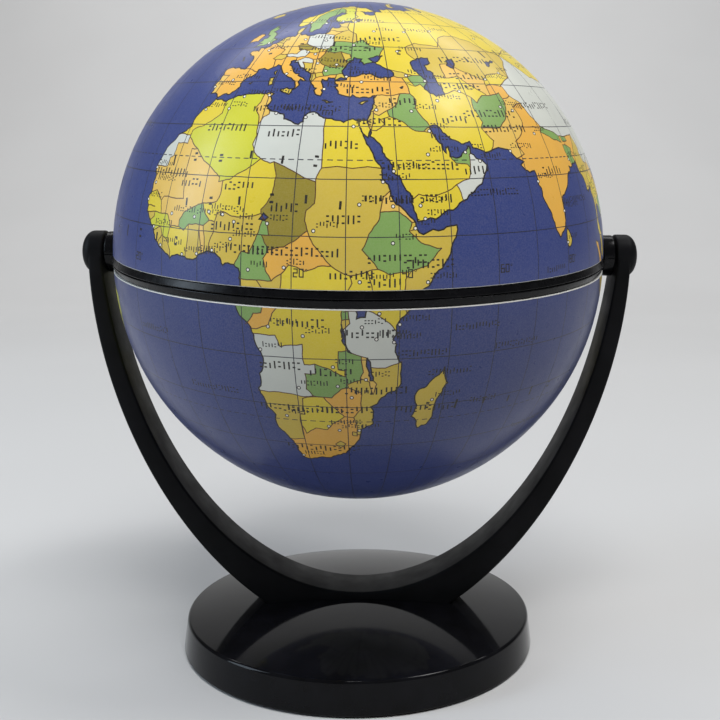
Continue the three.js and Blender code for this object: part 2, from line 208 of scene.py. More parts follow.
class Surface:
    """Builds one procedural material on a Principled shader, in object coordinates."""

    def __init__(self, name, colour, roughness, metallic=0.0):
        self.material = bpy.data.materials.new(name)
        self.material.use_nodes = True
        self.nodes = self.material.node_tree.nodes
        self.links = self.material.node_tree.links
        self.shader = self.nodes["Principled BSDF"]
        self.shader.inputs["Base Color"].default_value = (*colour, 1)
        self.shader.inputs["Roughness"].default_value = roughness
        self.shader.inputs["Metallic"].default_value = metallic
        self.place = self.nodes.new("ShaderNodeTexCoord").outputs["Object"]
        self.normal = None

    def set(self, **values):
        for name, value in values.items():
            self.shader.inputs[name.replace("_", " ")].default_value = value
        return self

    def noise(self, grain, detail=4, roughness=0.55, stretch=None):
        """Noise whose features are about grain metres across, stretched along the axes."""
        node = self.nodes.new("ShaderNodeTexNoise")
        node.inputs["Scale"].default_value = 1 / grain
        node.inputs["Detail"].default_value = detail
        node.inputs["Roughness"].default_value = roughness
        place = self.place
        if stretch:
            mapping = self.nodes.new("ShaderNodeMapping")
            mapping.inputs["Scale"].default_value = stretch
            self.links.new(place, mapping.inputs["Vector"])
            place = mapping.outputs["Vector"]
        self.links.new(place, node.inputs["Vector"])
        return node.outputs["Fac"]

    def ranged(self, value, low, high, start=0.3, end=0.7):
        """Maps a value from start..end to low..high."""
        node = self.nodes.new("ShaderNodeMapRange")
        self.links.new(value, node.inputs["Value"])
        for name, number in (("From Min", start), ("From Max", end), ("To Min", low), ("To Max", high)):
            node.inputs[name].default_value = number
        return node.outputs["Result"]

    def mixed(self, factor, one, two):
        """Mixes two colours, each a tuple or an output."""
        first, second, result = 6, 7, 2  # the node's colour sockets, whose names repeat
        node = self.nodes.new("ShaderNodeMix")
        node.data_type = "RGBA"
        self.links.new(factor, node.inputs["Factor"])
        for socket, colour in ((node.inputs[first], one), (node.inputs[second], two)):
            if isinstance(colour, tuple):
                socket.default_value = (*colour, 1)
            else:
                self.links.new(colour, socket)
        return node.outputs[result]

    def colour(self, output):
        self.links.new(output, self.shader.inputs["Base Color"])
        return self

    def roughness(self, output):
        self.links.new(output, self.shader.inputs["Roughness"])
        return self

    def bump(self, height, strength, distance):
        """Adds a bump on top of those already there."""
        node = self.nodes.new("ShaderNodeBump")
        node.inputs["Strength"].default_value = strength
        node.inputs["Distance"].default_value = distance
        self.links.new(height, node.inputs["Height"])
        if self.normal:
            self.links.new(self.normal, node.inputs["Normal"])
        self.normal = node.outputs["Normal"]
        self.links.new(self.normal, self.shader.inputs["Normal"])
        return self


def srgb(code):
    """Linear colour of a six-digit hex code."""
    parts = [int(code[at:at + 2], 16) / 255 for at in (0, 2, 4)]
    return tuple(((p + 0.055) / 1.055) ** 2.4 if p > 0.04045 else p / 12.92 for p in parts)


# ---------------------------------------------------------------- materials


def gloss_black():
    """Polished moulding: deep black with a faint orange peel, fine dust and hairline scuffs."""
    s = Surface("gloss_black", srgb("0b0b0d"), 0.07)
    s.set(IOR=1.24)
    s.colour(s.mixed(s.ranged(s.noise(6 * MM), 0, 1), srgb("09090a"), srgb("111114")))
    s.roughness(s.ranged(s.noise(9 * MM, 6), 0.05, 0.1))
    s.bump(s.noise(3.5 * MM, 1), 0.12, 0.02 * MM)
    return s.bump(s.noise(0.35 * MM, 2), 0.06, 0.006 * MM).material


def satin_black():
    """Fine spark-eroded moulding texture with slightly rubbed patches."""
    s = Surface("satin_black", srgb("101112"), 0.42)
    s.set(IOR=1.19)
    s.colour(s.mixed(s.ranged(s.noise(8 * MM, 5), 0, 1), srgb("0c0d0e"), srgb("141416")))
    s.roughness(s.ranged(s.noise(5 * MM, 6), 0.42, 0.56))
    s.bump(s.noise(0.22 * MM, 3), 0.35, 0.02 * MM)
    return s.bump(s.noise(4 * MM, 2), 0.2, 0.05 * MM).material


def ring_black():
    """Semi-gloss moulding with flow waviness and small scuffs."""
    s = Surface("ring_black", srgb("141416"), 0.25)
    s.set(IOR=1.26)
    s.colour(s.mixed(s.ranged(s.noise(5 * MM), 0, 1), srgb("0a0a0c"), srgb("121214")))
    s.roughness(s.ranged(s.noise(2.5 * MM, 6), 0.17, 0.34))
    s.bump(s.noise(2.2 * MM, 2), 0.25, 0.03 * MM)
    return s.bump(s.noise(0.3 * MM, 2), 0.15, 0.01 * MM).material


def inner_black():
    s = Surface("inner_black", srgb("26272a"), 0.6)
    s.colour(s.mixed(s.ranged(s.noise(7 * MM, 5), 0, 1), srgb("202124"), srgb("2c2d30")))
    s.roughness(s.ranged(s.noise(3 * MM, 5), 0.5, 0.7))
    return s.bump(s.noise(0.3 * MM, 3), 0.4, 0.03 * MM).material


def white_plastic():
    """White polystyrene, faintly yellowed in patches."""
    s = Surface("white_plastic", srgb("e6e6e2"), 0.4)
    s.colour(s.mixed(s.ranged(s.noise(12 * MM, 4), 0, 1), srgb("e9e9e6"), srgb("dddbd3")))
    s.roughness(s.ranged(s.noise(4 * MM, 5), 0.32, 0.5))
    return s.bump(s.noise(0.5 * MM, 3), 0.2, 0.01 * MM).material


def foam():
    s = Surface("foam", srgb("2a2a2c"), 0.95)
    s.colour(s.mixed(s.ranged(s.noise(0.8 * MM, 4), 0, 1), srgb("1d1d1f"), srgb("38383a")))
    s.roughness(s.ranged(s.noise(2 * MM, 4), 0.88, 1))
    return s.bump(s.noise(0.6 * MM, 5), 0.8, 0.2 * MM).material


def cast_iron():
    s = Surface("cast_iron", srgb("66686a"), 0.6, 0.9)
    s.colour(s.mixed(s.ranged(s.noise(4 * MM, 6), 0, 1), srgb("55575a"), srgb("75716c")))
    s.roughness(s.ranged(s.noise(2 * MM, 5), 0.45, 0.75))
    return s.bump(s.noise(0.5 * MM, 5), 0.6, 0.06 * MM).material


def zinc_steel():
    s = Surface("zinc_steel", srgb("b6b8ba"), 0.32, 1)
    s.colour(s.mixed(s.ranged(s.noise(1.5 * MM, 4), 0, 1), srgb("a7abb0"), srgb("c2bfb4")))
    s.roughness(s.ranged(s.noise(1 * MM, 5, stretch=(1, 1, 6)), 0.25, 0.45))
    return s.bump(s.noise(0.2 * MM, 3), 0.2, 0.01 * MM).material


def printed_skin():
    """The printed film: its inks come from the mesh, mottled as thin ink is, under a soft lacquer."""
    s = Surface("printed_skin", srgb("4c5288"), 0.36)
    s.set(IOR=1.4)
    inks = s.nodes.new("ShaderNodeAttribute")
    inks.attribute_name = "inks"
    broad = s.mixed(s.ranged(s.noise(14 * MM, 3), 0.0, 0.12), inks.outputs["Color"], srgb("30304a"))
    grain = s.mixed(s.ranged(s.noise(0.25 * MM, 2), 0.0, 0.05), broad, srgb("f2ead8"))
    s.colour(grain)
    s.roughness(s.ranged(s.noise(3 * MM, 6), 0.27, 0.38))
    s.bump(s.noise(6 * MM, 2), 0.15, 0.04 * MM)
    return s.bump(s.noise(0.3 * MM, 2), 0.1, 0.006 * MM).material


# ---------------------------------------------------------------- stand


def dome_height(radius):
    return DOME_CENTRE.z + math.sqrt(DOME_RADIUS ** 2 - radius ** 2)


def arch_point(arch, angle):
    """Point of a fork arch as (x, z). The angle runs from 0 on the right to pi on the left."""
    across, down = math.cos(angle), abs(math.sin(angle))
    x = arch["half_width"] * math.copysign(abs(across) ** (2 / arch["power"]), across)
    return x, PIVOT.z + arch["rise"] - arch["drop"] * down ** (2 / arch["power"])


def fork_half_depth(height):
    """The fork tapers from its foot to the pivot."""
    share = (height - FORK_FOOT_HEIGHT) / (PIVOT.z - FORK_FOOT_HEIGHT)
    return FORK_FOOT_HALF_DEPTH + (KNOB_RADIUS - FORK_FOOT_HALF_DEPTH) * min(share, 1)


def even_arch(arch, start, count):
    """Evenly spaced (x, z) points along a fork arch, between equal angles from its two ends."""
    fine_angles = np.linspace(start, math.pi - start, 2001)
    fine = np.array([arch_point(arch, angle) for angle in fine_angles])
    lengths = np.r_[0, np.cumsum(np.linalg.norm(np.diff(fine, axis=0), axis=1))]
    wanted = np.linspace(0, lengths[-1], count)
    return np.stack([np.interp(wanted, lengths, fine[:, axis]) for axis in (0, 1)], axis=1)


def fork_section():
    """Section of the fork with its four corners rounded, as (share across the band from inside to
    outside, share of the half depth, shift in metres along each)."""
    round_off, steps = 0.55 * MM, 4
    quarter = [TAU / 4 * step / steps for step in range(steps + 1)]
    section = []
    for across, side, angles in ((1, -1, quarter), (1, 1, quarter[::-1]),
                                 (0, 1, quarter), (0, -1, quarter[::-1])):
        outward = 1 if across else -1
        for angle in angles:
            section.append((across, side, -outward * round_off * (1 - math.sin(angle)),
                            -side * round_off * (1 - math.cos(angle))))
    return section


def fork_band():
    """The U of the fork: its section carried along the two arches."""
    count, most = 161, 0.45  # rows, and the largest share of the band's width that a corner takes
    inner_start = math.asin(INNER_ARCH["rise"] / INNER_ARCH["drop"])
    inner, outer = even_arch(INNER_ARCH, inner_start, count), even_arch(OUTER_ARCH, 0, count)
    outer[:, 1] = np.maximum(outer[:, 1], FORK_FOOT_HEIGHT)
    section = fork_section()
    made = bmesh.new()
    rows = []
    for (xi, zi), (xo, zo) in zip(inner, outer):
        across = Vector((xo - xi, 0, zo - zi))
        width = across.length
        row = []
        for share, depth_share, shift, depth_shift in section:
            place = Vector((xi, 0, zi)) + across * (share + min(max(shift / width, -most), most))
            place.y = depth_share * fork_half_depth(place.z) + depth_shift
            row.append(made.verts.new(place))
        rows.append(row)
    for row, following in zip(rows, rows[1:]):
        for index in range(len(section)):
            after = (index + 1) % len(section)
            made.faces.new([row[index], row[after], following[after], following[index]])
    made.faces.new(rows[0])
    made.faces.new(rows[-1][::-1])
    bmesh.ops.recalc_face_normals(made, faces=made.faces)
    return made


def at_pivot(profile, side):
    """A (radius, height) profile turned round the pivot axis, outwards on one side."""
    made = laid_along_x(turned(profile, segments=96), side)
    bmesh.ops.transform(made, matrix=Matrix.Translation(PIVOT), verts=made.verts)
    return made


def knob(side):
    """Domed boss with its socket open towards the ball."""
    dome_length = KNOB_END - KNOB_DOME_START
    dome_steps, fullness = 15, 0.8
    lip = 0.4 * MM
    angles = [TAU / 4 * step / dome_steps for step in range(1, dome_steps)]
    dome = [(KNOB_RADIUS * math.cos(a) ** fullness, KNOB_DOME_START + dome_length * math.sin(a))
            for a in angles]
    return at_pivot([
        (0, SOCKET_END), (SOCKET_RADIUS, SOCKET_END), (SOCKET_RADIUS, KNOB_START),
        *arc(KNOB_RADIUS - lip, KNOB_START + lip, lip, -90, 0),
        (KNOB_RADIUS, KNOB_DOME_START), *dome, (0, KNOB_END),
    ], side)


def socket_bore(side):
    return at_pivot([(0, COLLAR_END), (SOCKET_RADIUS, COLLAR_END),
                     (SOCKET_RADIUS, SOCKET_END), (0, SOCKET_END)], side)


def build_fork():
    steps = [("UNION", knob(-1)), ("UNION", knob(1)),
             ("DIFFERENCE", socket_bore(-1)), ("DIFFERENCE", socket_bore(1))]
    mesh = mesh_of(combined(fork_band(), *steps), "fork_arch")
    mesh.materials.append(satin_black())
    add_object("fork_arch", mesh, "stand", ["fork"])


def pocket():
    """The saddle's space: the fork's foot, a hair wider all round."""
    made = bmesh.new()
    arch_points, above_dome = 401, 2 * MM
    half_depth = FORK_FOOT_HALF_DEPTH + SADDLE_GAP
    widened = {**OUTER_ARCH, "half_width": OUTER_ARCH["half_width"] + SADDLE_GAP,
               "drop": OUTER_ARCH["drop"] + SADDLE_GAP}
    floor, ceiling = FORK_FOOT_HEIGHT - SADDLE_GAP, BASE_APEX_HEIGHT + above_dome
    outline = [(x, z) for x, z in even_arch(widened, 0, arch_points) if floor < z < ceiling and x != 0]
    front = [made.verts.new((x, -half_depth, z)) for x, z in outline]
    back = [made.verts.new((x, half_depth, z)) for x, z in outline]
    made.faces.new(front)
    made.faces.new(back[::-1])
    for index in range(len(front)):
        after = (index + 1) % len(front)
        made.faces.new([front[after], front[index], back[index], back[after]])
    bmesh.ops.recalc_face_normals(made, faces=made.faces)
    return made


def base_profile():
    """Flared skirt, rounded rim that runs on smoothly into the dome, and the underside."""
    slope = math.degrees(math.asin(DOME_EDGE / DOME_RADIUS))
    foot_round, dome_points, under_points = 0.25 * MM, 40, 12
    dome_start = 0.995  # share of the edge's radius, just inside the end of the rim's arc
    dome = [(DOME_EDGE * share, dome_height(DOME_EDGE * share))
            for share in np.linspace(dome_start, 0, dome_points)]
    inner_edge = DOME_EDGE - BASE_WALL
    under = [(inner_edge * share, dome_height(inner_edge * share) - DOME_THICKNESS)
             for share in np.linspace(0, 1, under_points)]
    return [
        *under, (BASE_BOTTOM_RADIUS - BASE_WALL, SKIRT_BOTTOM),
        *arc(BASE_BOTTOM_RADIUS - foot_round, SKIRT_BOTTOM + foot_round, foot_round, -90, 0),
        *arc(DOME_EDGE, BASE_RIM_HEIGHT - BASE_EDGE_ROUND, BASE_EDGE_ROUND, 0, 90 - slope, 12),
        *dome,
    ]


def build_base():
    made = combined(turned(base_profile(), segments=256), ("DIFFERENCE", pocket()))
    mesh = mesh_of(made, "base_dome", sharp_angle=30)
    smooth_dome_normals(mesh)
    mesh.materials.append(gloss_black())
    add_object("base_dome", mesh, "stand", ["base_cover"])


def smooth_dome_normals(mesh):
    """Gives the faces of the dome the normals of the true dome, so that the cut for the fork
    leaves no dents in the reflections."""
    facing_up, near = 0.9, 0.05 * MM
    normals = [Vector(corner.vector) for corner in mesh.corner_normals]
    for polygon in mesh.polygons:
        if polygon.normal.z < facing_up or polygon.center.z < BASE_RIM_HEIGHT - 2 * near:
            continue
        for loop in polygon.loop_indices:
            from_centre = mesh.vertices[mesh.loops[loop].vertex_index].co - DOME_CENTRE
            if abs(from_centre.length - DOME_RADIUS) < near:
                normals[loop] = from_centre.normalized()
    mesh.normals_split_custom_set(normals)


# ---------------------------------------------------------------- ring


def ring_body():
    """Upper half of the ring: a ridge at the parting line, sloping in to a rounded edge."""
    low, high = PARTING_HALF_GAP, RING_HALF_HEIGHT
    crest, edge = 0.14 * MM, 0.2 * MM
    profile = [
        (RING_BORE, low), *arc(RING_RIDGE_RADIUS - crest, low + crest, crest, -90, 20, 6),
        *arc(RING_EDGE_RADIUS - edge, high - edge, edge, 10, 90, 6), (RING_BORE, high),
    ]
    return turned(profile, segments=360)


def collar(side):
    """Round collar and pivot stub, lying along X."""
    lip, root = 0.3 * MM, COLLAR_START - 3 * MM
    profile = [
        (0, root), (STUB_RADIUS, root), (STUB_RADIUS, COLLAR_START),
        *arc(COLLAR_RADIUS - lip, COLLAR_START + lip, lip, -90, 0, 6),
        *arc(COLLAR_RADIUS - lip, COLLAR_END - lip, lip, 0, 90, 6),
        (STUB_RADIUS, COLLAR_END), *arc(STUB_RADIUS - lip, STUB_END - lip, lip, 0, 90, 6), (0, STUB_END),
    ]
    return laid_along_x(turned(profile, segments=96), side)


def ring_half():
    """Upper half of the ring with its half of both collars, tied in by a neck on each side."""
    low, high = PARTING_HALF_GAP, RING_HALF_HEIGHT
    reach, room = 2 * KNOB_END, 10 * MM
    neck_start, neck_end = RING_BORE + 2 * MM, COLLAR_END - 0.5 * MM
    neck_half_width = COLLAR_RADIUS - 0.3 * MM
    steps = []
    for side in (-1, 1):
        left, right = sorted([side * neck_start, side * neck_end])
        above = block((-reach, -room, low), (reach, room, room))
        steps.append(("UNION", block((left, -neck_half_width, low), (right, neck_half_width, high))))
        steps.append(("UNION", combined(collar(side), ("INTERSECT", above))))
    return combined(ring_body(), *steps)


def build_ring():
    finish = ring_black()
    upper = ring_half()
    lower = upper.copy()
    bmesh.ops.transform(lower, matrix=Matrix.Rotation(math.pi, 4, "X"), verts=lower.verts)
    halves = (("ring_top", upper, "ring_upper_half"), ("ring_bottom", lower, "ring_lower_half"))
    for name, made, node in halves:
        mesh = mesh_of(made, name, RING_FRAME, sharp_angle=30)
        mesh.materials.append(finish)
        add_object(name, mesh, "ring", [node])


# ---------------------------------------------------------------- shells


def quarter_circle(radius, height, steps=24):
    """Points on a hemisphere, from a height above the ring's mid-plane to the pole."""
    start = math.asin((height - HEMISPHERE_LIFT) / radius)
    angles = [start + (TAU / 4 - start) * step / steps for step in range(steps)]
    points = [(radius * math.cos(a), HEMISPHERE_LIFT + radius * math.sin(a)) for a in angles]
    return points + [(0, HEMISPHERE_LIFT + radius)]


def build_shells():
    """White hemispheres under the print. Their rims show as the pale lines beside the ring."""
    finish = white_plastic()
    outer = BALL_RADIUS - SKIN_THICKNESS - SKIN_GAP
    inner = outer - SHELL_THICKNESS
    lip_radius, round_off = BALL_RADIUS - 0.02 * MM, 0.04 * MM
    for name, side, node in (("shell_north", 1, "north_shell"), ("shell_south", -1, "south_shell")):
        lip_top = SKIN_BOTTOM[side] - 0.03 * MM
        profile = [
            *quarter_circle(inner, RIM_HEIGHT)[::-1],
            *arc(lip_radius - round_off, RIM_HEIGHT + round_off, round_off, -90, 0, 4),
            (lip_radius, lip_top), *quarter_circle(outer, lip_top),
        ]
        turn = 0 if side > 0 else math.pi
        placed = RING_FRAME @ Matrix.Rotation(turn, 4, "X")
        mesh = mesh_of(turned(profile), name, placed, sharp_angle=40)
        mesh.materials.append(finish)
        add_object(name, mesh, "globe", [node])


# ---------------------------------------------------------------- map outlines, in degrees

FRONT_LONGITUDE = 30.9  # the meridian that faces the front


def lonlat(text):
    """Reads 'longitude latitude' pairs parted by commas."""
    return [tuple(float(number) for number in pair.split()) for pair in text.split(",")]


def outlines(text):
    """Reads several such lines, parted by semicolons."""
    return [lonlat(line) for line in text.split(";")]


OLD_WORLD = lonlat("""
    -5.9 35.8,-5.2 35.5,-3 35.3,-2 35.1,-.6 35.8,1 36.5,3 36.8,4.8 36.9,6.5 37,8.2 36.9,9.8 37.3,11.1 37,
    10.5 36.3,11.1 35.5,10.2 34.2,10.9 33.6,11.5 33.1,13.2 32.9,15.1 32.4,15.4 31.4,17.5 30.8,19 30.3,
    20 30.9,20.1 32.1,21.6 32.9,23.1 32.6,25.1 31.6,27.5 31.2,29 30.8,30 31.3,31 31.6,32.3 31.3,34.2 31.3,
    34.9 32.6,35.5 33.9,35.9 35,35.8 36.2,36.2 36.7,34 36.3,32.5 36.1,30.8 36.8,30.4 36.3,29 36.5,
    28.2 36.7,27.3 37,26.9 38,26.4 38.5,26.9 39,26.2 39.6,26.2 40,27.5 40.3,29 40.4,29.1 40.9,27.6 40.95,
    26.9 40.6,26.2 40.2,26 40.8,24.4 40.9,24.2 40.2,23.5 40.2,22.8 40.5,22.7 39.8,23.1 39.2,24 38.1,
    23.6 37.9,23 37.9,23.4 37.3,23.1 36.5,22.4 36.6,21.7 36.9,21.2 37.8,21.7 38.3,21.1 38.4,20.7 39,
    19.9 39.8,19.4 40.5,19.5 41.7,18.5 42.4,17.3 43.1,16 43.6,15 44.6,14.5 45.2,13.6 45,13.7 45.7,
    12.4 45.4,12.4 44.3,13.6 43.6,14.3 42.5,16.1 41.9,16 41.5,17.5 40.9,18.5 40.1,17 40.5,16.6 39.8,
    17.1 39.1,16.5 38.4,15.8 37.9,16.1 38.8,15.6 40,14.3 40.8,13 41.2,12.2 41.8,11.1 42.4,10.3 43.4,
    9.8 44.1,8.8 44.4,7.5 43.7,6.2 43,4.8 43.4,3.1 43.1,3.2 42.3,2.2 41.3,.7 40.8,-.3 39.5,.2 38.7,
    -.8 37.7,-2 36.8,-4.4 36.7,-5.6 36,-6.4 36.8,-7.4 37.2,-8.9 37,-8.8 38.4,-9.5 38.8,-8.8 40.5,-8.8 42,
    -9.2 43.1,-8 43.7,-5.8 43.6,-3.5 43.4,-1.8 43.3,-1.2 44.6,-1.2 46,-2.2 47.2,-4.5 47.9,-4.6 48.6,
    -3 48.8,-1.6 48.7,-1.8 49.7,.1 49.5,1.6 50.4,1.8 51,3.2 51.4,4.3 52.2,4.9 53.2,6.9 53.6,8.5 53.7,
    8.8 54.4,8.1 55.5,8.3 57,10.5 57.7,10.2 56.4,9.7 55.3,10.9 54.2,12.5 54.4,14.2 53.9,16.5 54.5,
    18.6 54.5,20 54.8,21 55.6,21.1 56.8,21.6 57.5,23.2 57,24.3 57.2,24.4 58.3,23.5 59.2,26 59.6,29.9 59.8,
    28.5 60.6,25 60.2,22.9 59.9,21.3 60.9,21.3 62.8,25.2 65.2,22.3 65.7,21.2 64.2,17.7 62.4,17.2 60.7,
    18.8 59.8,16.8 58.5,16.4 56.7,14.7 56.1,14.2 55.4,12.9 55.5,12.4 56.8,11.3 58.9,10.6 59.4,9.6 58.9,
    7.3 58,5.6 58.8,5 61.2,6.5 63,9.5 64.2,12.5 66,14.5 67.8,17 69.2,20 70,24.5 71,28.5 71,31 70.3,
    33.5 69.4,38 68.3,41 66.9,38 66.2,33 66.7,35 64.4,37.3 63.9,40 64.6,40 65.7,42.5 66.4,44 66.3,
    43.6 68.5,46.5 68.1,54 68.4,58 68.9,65 69,67 68.8,67 71,69 72.9,73 71.3,73.5 68.2,76 69,76 71.8,81 72,
    81.5 73.7,87 75.1,93 76.1,100 76.5,104.3 77.7,113 75.8,113 73.8,120 73,127 73.4,129.5 71,133 71.5,
    140 72.5,150 71.6,160 69.7,170 69.8,178 69.3,190 66,182 65.2,178 64.5,179.5 62.5,170 60,164 59.8,
    163 56.5,160 53.2,156.7 51,155.6 55,159 59,163 61.8,156 61.3,154.5 59.5,150 59.4,143 59.3,136 54.8,
    141 53,140.4 48.5,136 44.5,132 43.2,129.7 41.5,127.5 39.7,129.3 37,129.3 35.3,126.5 34.4,126.6 36.6,
    125 38,125.1 39.5,121.3 38.8,121.8 40.8,118 39,119 37.3,122.3 37.3,119.3 35,121 32.7,121.9 31.4,
    121.9 29.5,119.5 25.8,118 24.4,116 22.8,113.6 22.1,110.4 21.3,109.9 20.4,109.6 21.5,108 21.6,
    105.8 19.2,108.8 15.3,109.3 13,109 11.4,106.8 10.4,105 8.7,104.8 10.3,102.3 12.2,100.9 12.7,
    100.3 13.5,99.3 10.3,100.3 8.5,102.2 6.3,103.4 4.4,104.2 1.4,103.4 1.4,101.2 2.9,100.3 5.6,98.3 8,
    98.7 11,97.8 15,97.3 16.8,95.4 15.8,94.3 16.2,94.2 18.6,92.3 20.9,91.8 22.4,90.2 22,87.2 21.5,
    86.8 20.3,85 19.5,82.3 16.7,80.3 15.6,80.2 13.3,79.8 10.7,79 9.3,78.2 8.9,77.5 8.1,76.4 9.5,75.7 11.4,
    74.6 13.9,73.4 16.2,72.8 19,72.7 21.1,71.1 20.8,69 22.3,70.2 22.9,68.3 23.6,67.2 24.7,66.4 25.4,
    61.6 25.2,58.9 25.5,57.3 25.8,56.8 27.1,54.7 26.6,52.6 27.5,50.8 28.9,50.1 30.1,48.9 30.4,47.9 29.9,
    48.8 28.1,50.2 26.6,50.2 25.6,50.8 24.8,50.8 25.7,51.3 26.1,51.6 25,51.5 24.2,54 24.2,55.3 25.2,
    56.3 26.2,56.4 24.8,57.5 23.8,58.7 23.5,59.8 22.5,58.7 20.6,57.7 19,55.3 17.4,52.2 15.7,48.8 14.1,
    45 12.9,43.5 12.7,42.8 15.2,42.6 16.8,40.8 19.5,39.1 21.4,38.5 23.6,37.2 25,35.5 27.7,34.7 28.1,
    34.9 29.5,34.3 27.8,33.2 28.6,32.5 29.9,33.3 28.2,34 26.6,35.5 24,37 22,37.2 19.8,38.5 18,39.5 15.6,
    41.2 14.5,43.1 12.5,43.2 11.5,44.5 10.4,48.5 11.2,51.2 11.9,51.1 10.4,49.9 8,48 4.5,46 2.4,43 -.5,
    41 -2,39.4 -4.6,38.8 -6.2,39.5 -7.2,39.5 -9,40.6 -10.8,40.7 -15,39.6 -16.5,36.9 -17.9,34.8 -19.9,
    35.4 -22,35.4 -24,32.9 -25.3,32.7 -27,31.9 -29,30.2 -31.2,28 -32.9,25.7 -33.9,22.5 -34.1,20 -34.8,
    18.4 -34.2,17.9 -32.6,17.5 -30.5,16.4 -28.6,15 -26.6,14.5 -22.6,12.6 -18.7,11.8 -16.8,12.6 -13.6,
    13.8 -11,13.1 -8.9,12.3 -6.2,11.8 -4.8,9 -1.8,8.8 -.7,9.5 .4,9.7 2.4,9.5 4,8.5 4.6,6.1 4.3,5 5.8,
    3.4 6.4,1.2 6.1,-2 4.8,-4.5 5.2,-7.5 4.4,-9.2 5.5,-11.5 6.9,-13.2 8.7,-13.5 9.6,-15 10.9,-16.7 12.4,
    -16.7 13.5,-17.4 14.7,-16.5 16.1,-16.3 19.2,-17 20.9,-16.2 23.5,-14.6 26,-13 27.8,-11.3 28.4,
    -9.7 29.6,-9.7 31.6,-8.6 33.2,-6.9 34.1
""")

AMERICAS = lonlat("""
    -168 65.6,-162 66.5,-166 68.4,-157 71.3,-141 69.6,-128 70.2,-115 68,-102 67.9,-96 68.2,-94 71.5,
    -88 68.5,-82 68.5,-87 65,-94 60.5,-94.5 58.8,-92.5 57,-88 56.5,-82.3 55,-82 53,-80 51.3,-79 53.5,
    -77 56,-78 58.5,-77.5 62.5,-70 61.2,-67.5 58.5,-65 60,-62 57.5,-57 54.6,-56 52,-60 50.2,-66 50.2,
    -71 46.8,-65 48.9,-64.8 46.8,-60.5 46,-65.8 43.6,-65.5 45.2,-67 44.9,-70 43.7,-70.6 42,-73.8 40.7,
    -75.5 38,-76 36.8,-75.6 35.3,-78 33.9,-81 32,-81.4 30.5,-80.1 27,-80.4 25.3,-81.8 26.2,-82.8 28.5,
    -84 30,-88 30.4,-89.5 29.2,-94.5 29.5,-97.3 27.8,-97.8 22.5,-96.2 19.2,-94.5 18.2,-91 18.7,-90.4 21.1,
    -87 21.5,-87.8 18.3,-88.3 15.8,-83.2 15,-83.8 11,-82 9,-79.7 9.5,-77.3 8.6,-75 11,-71.6 12.2,
    -71.4 10.6,-68.5 11,-62 10.7,-60 8.5,-57 6,-51.8 4.4,-50 1.8,-48.2 -.8,-44.5 -2.5,-41 -2.9,-38.5 -3.8,
    -35.3 -5.3,-34.8 -8,-37 -11,-39 -13.5,-39.2 -17.5,-41 -22,-44.5 -23.2,-48.5 -26,-48.7 -28.5,-52 -33,
    -54.5 -34.9,-58.3 -34,-57 -36.5,-58 -38.2,-62 -39,-65 -41.5,-65.3 -44.5,-67.5 -46,-65.8 -47.8,-69 -51,
    -68.4 -52.6,-65.2 -54.7,-69 -55.3,-74 -52.5,-75.5 -50,-74.5 -46,-73 -42,-73.7 -39.5,-71.6 -33,
    -70.5 -25,-70.2 -19,-76.3 -14,-77.2 -12,-79.7 -7.2,-81.3 -5,-80 -3,-80.7 -1,-78.8 1.4,-77.2 4,-77.7 7,
    -80 7.5,-83.6 8.6,-85.7 10.2,-87.6 12.8,-91.5 14,-94 16.1,-96.5 15.7,-101.5 17.6,-105.5 20.2,
    -106 22.8,-109.3 26,-112.5 30,-114.7 31.7,-112.5 28,-109.6 23.2,-112 25,-115 28,-117.1 32.5,
    -120.6 34.6,-122.5 37.5,-124.2 41,-124.6 48.2,-122.7 49,-127.8 51,-130.5 54.8,-135 58.3,-140 59.8,
    -146 60.8,-152 59.5,-156 57.5,-163 55,-158 58.5,-164.5 61.5,-161 64,-166 64.5
""")

AUSTRALIA = lonlat("""
    113.7 -22.5,114.2 -26.2,115.7 -31.8,115 -34.2,118 -35,123.7 -33.9,129 -31.7,131.3 -31.5,135 -34.6,
    137.7 -33,138.2 -35.6,140 -38,143.5 -38.8,146.3 -39,150 -37.4,151.3 -33.5,153.3 -28.5,153 -25,
    149 -20.5,146 -18.8,145.3 -15,142.6 -10.7,141.6 -14,140.9 -17.5,139 -17.3,135.5 -15,136.9 -12.2,
    132.5 -11.3,130.5 -12.5,129 -15,126 -14,122.3 -18,119 -20
""")

ANTARCTICA = lonlat("""
    -180 -78,-160 -78,-150 -77,-135 -74.5,-100 -72.5,-75 -72,-68 -68,-58 -63.3,-61 -70,-62 -75,-50 -78,
    -35 -78,-20 -73.5,-10 -71,10 -70,35 -69.5,50 -66.5,70 -68.5,90 -66.5,110 -66,130 -66,145 -67,
    160 -69.5,170 -71.5,165 -77
""")

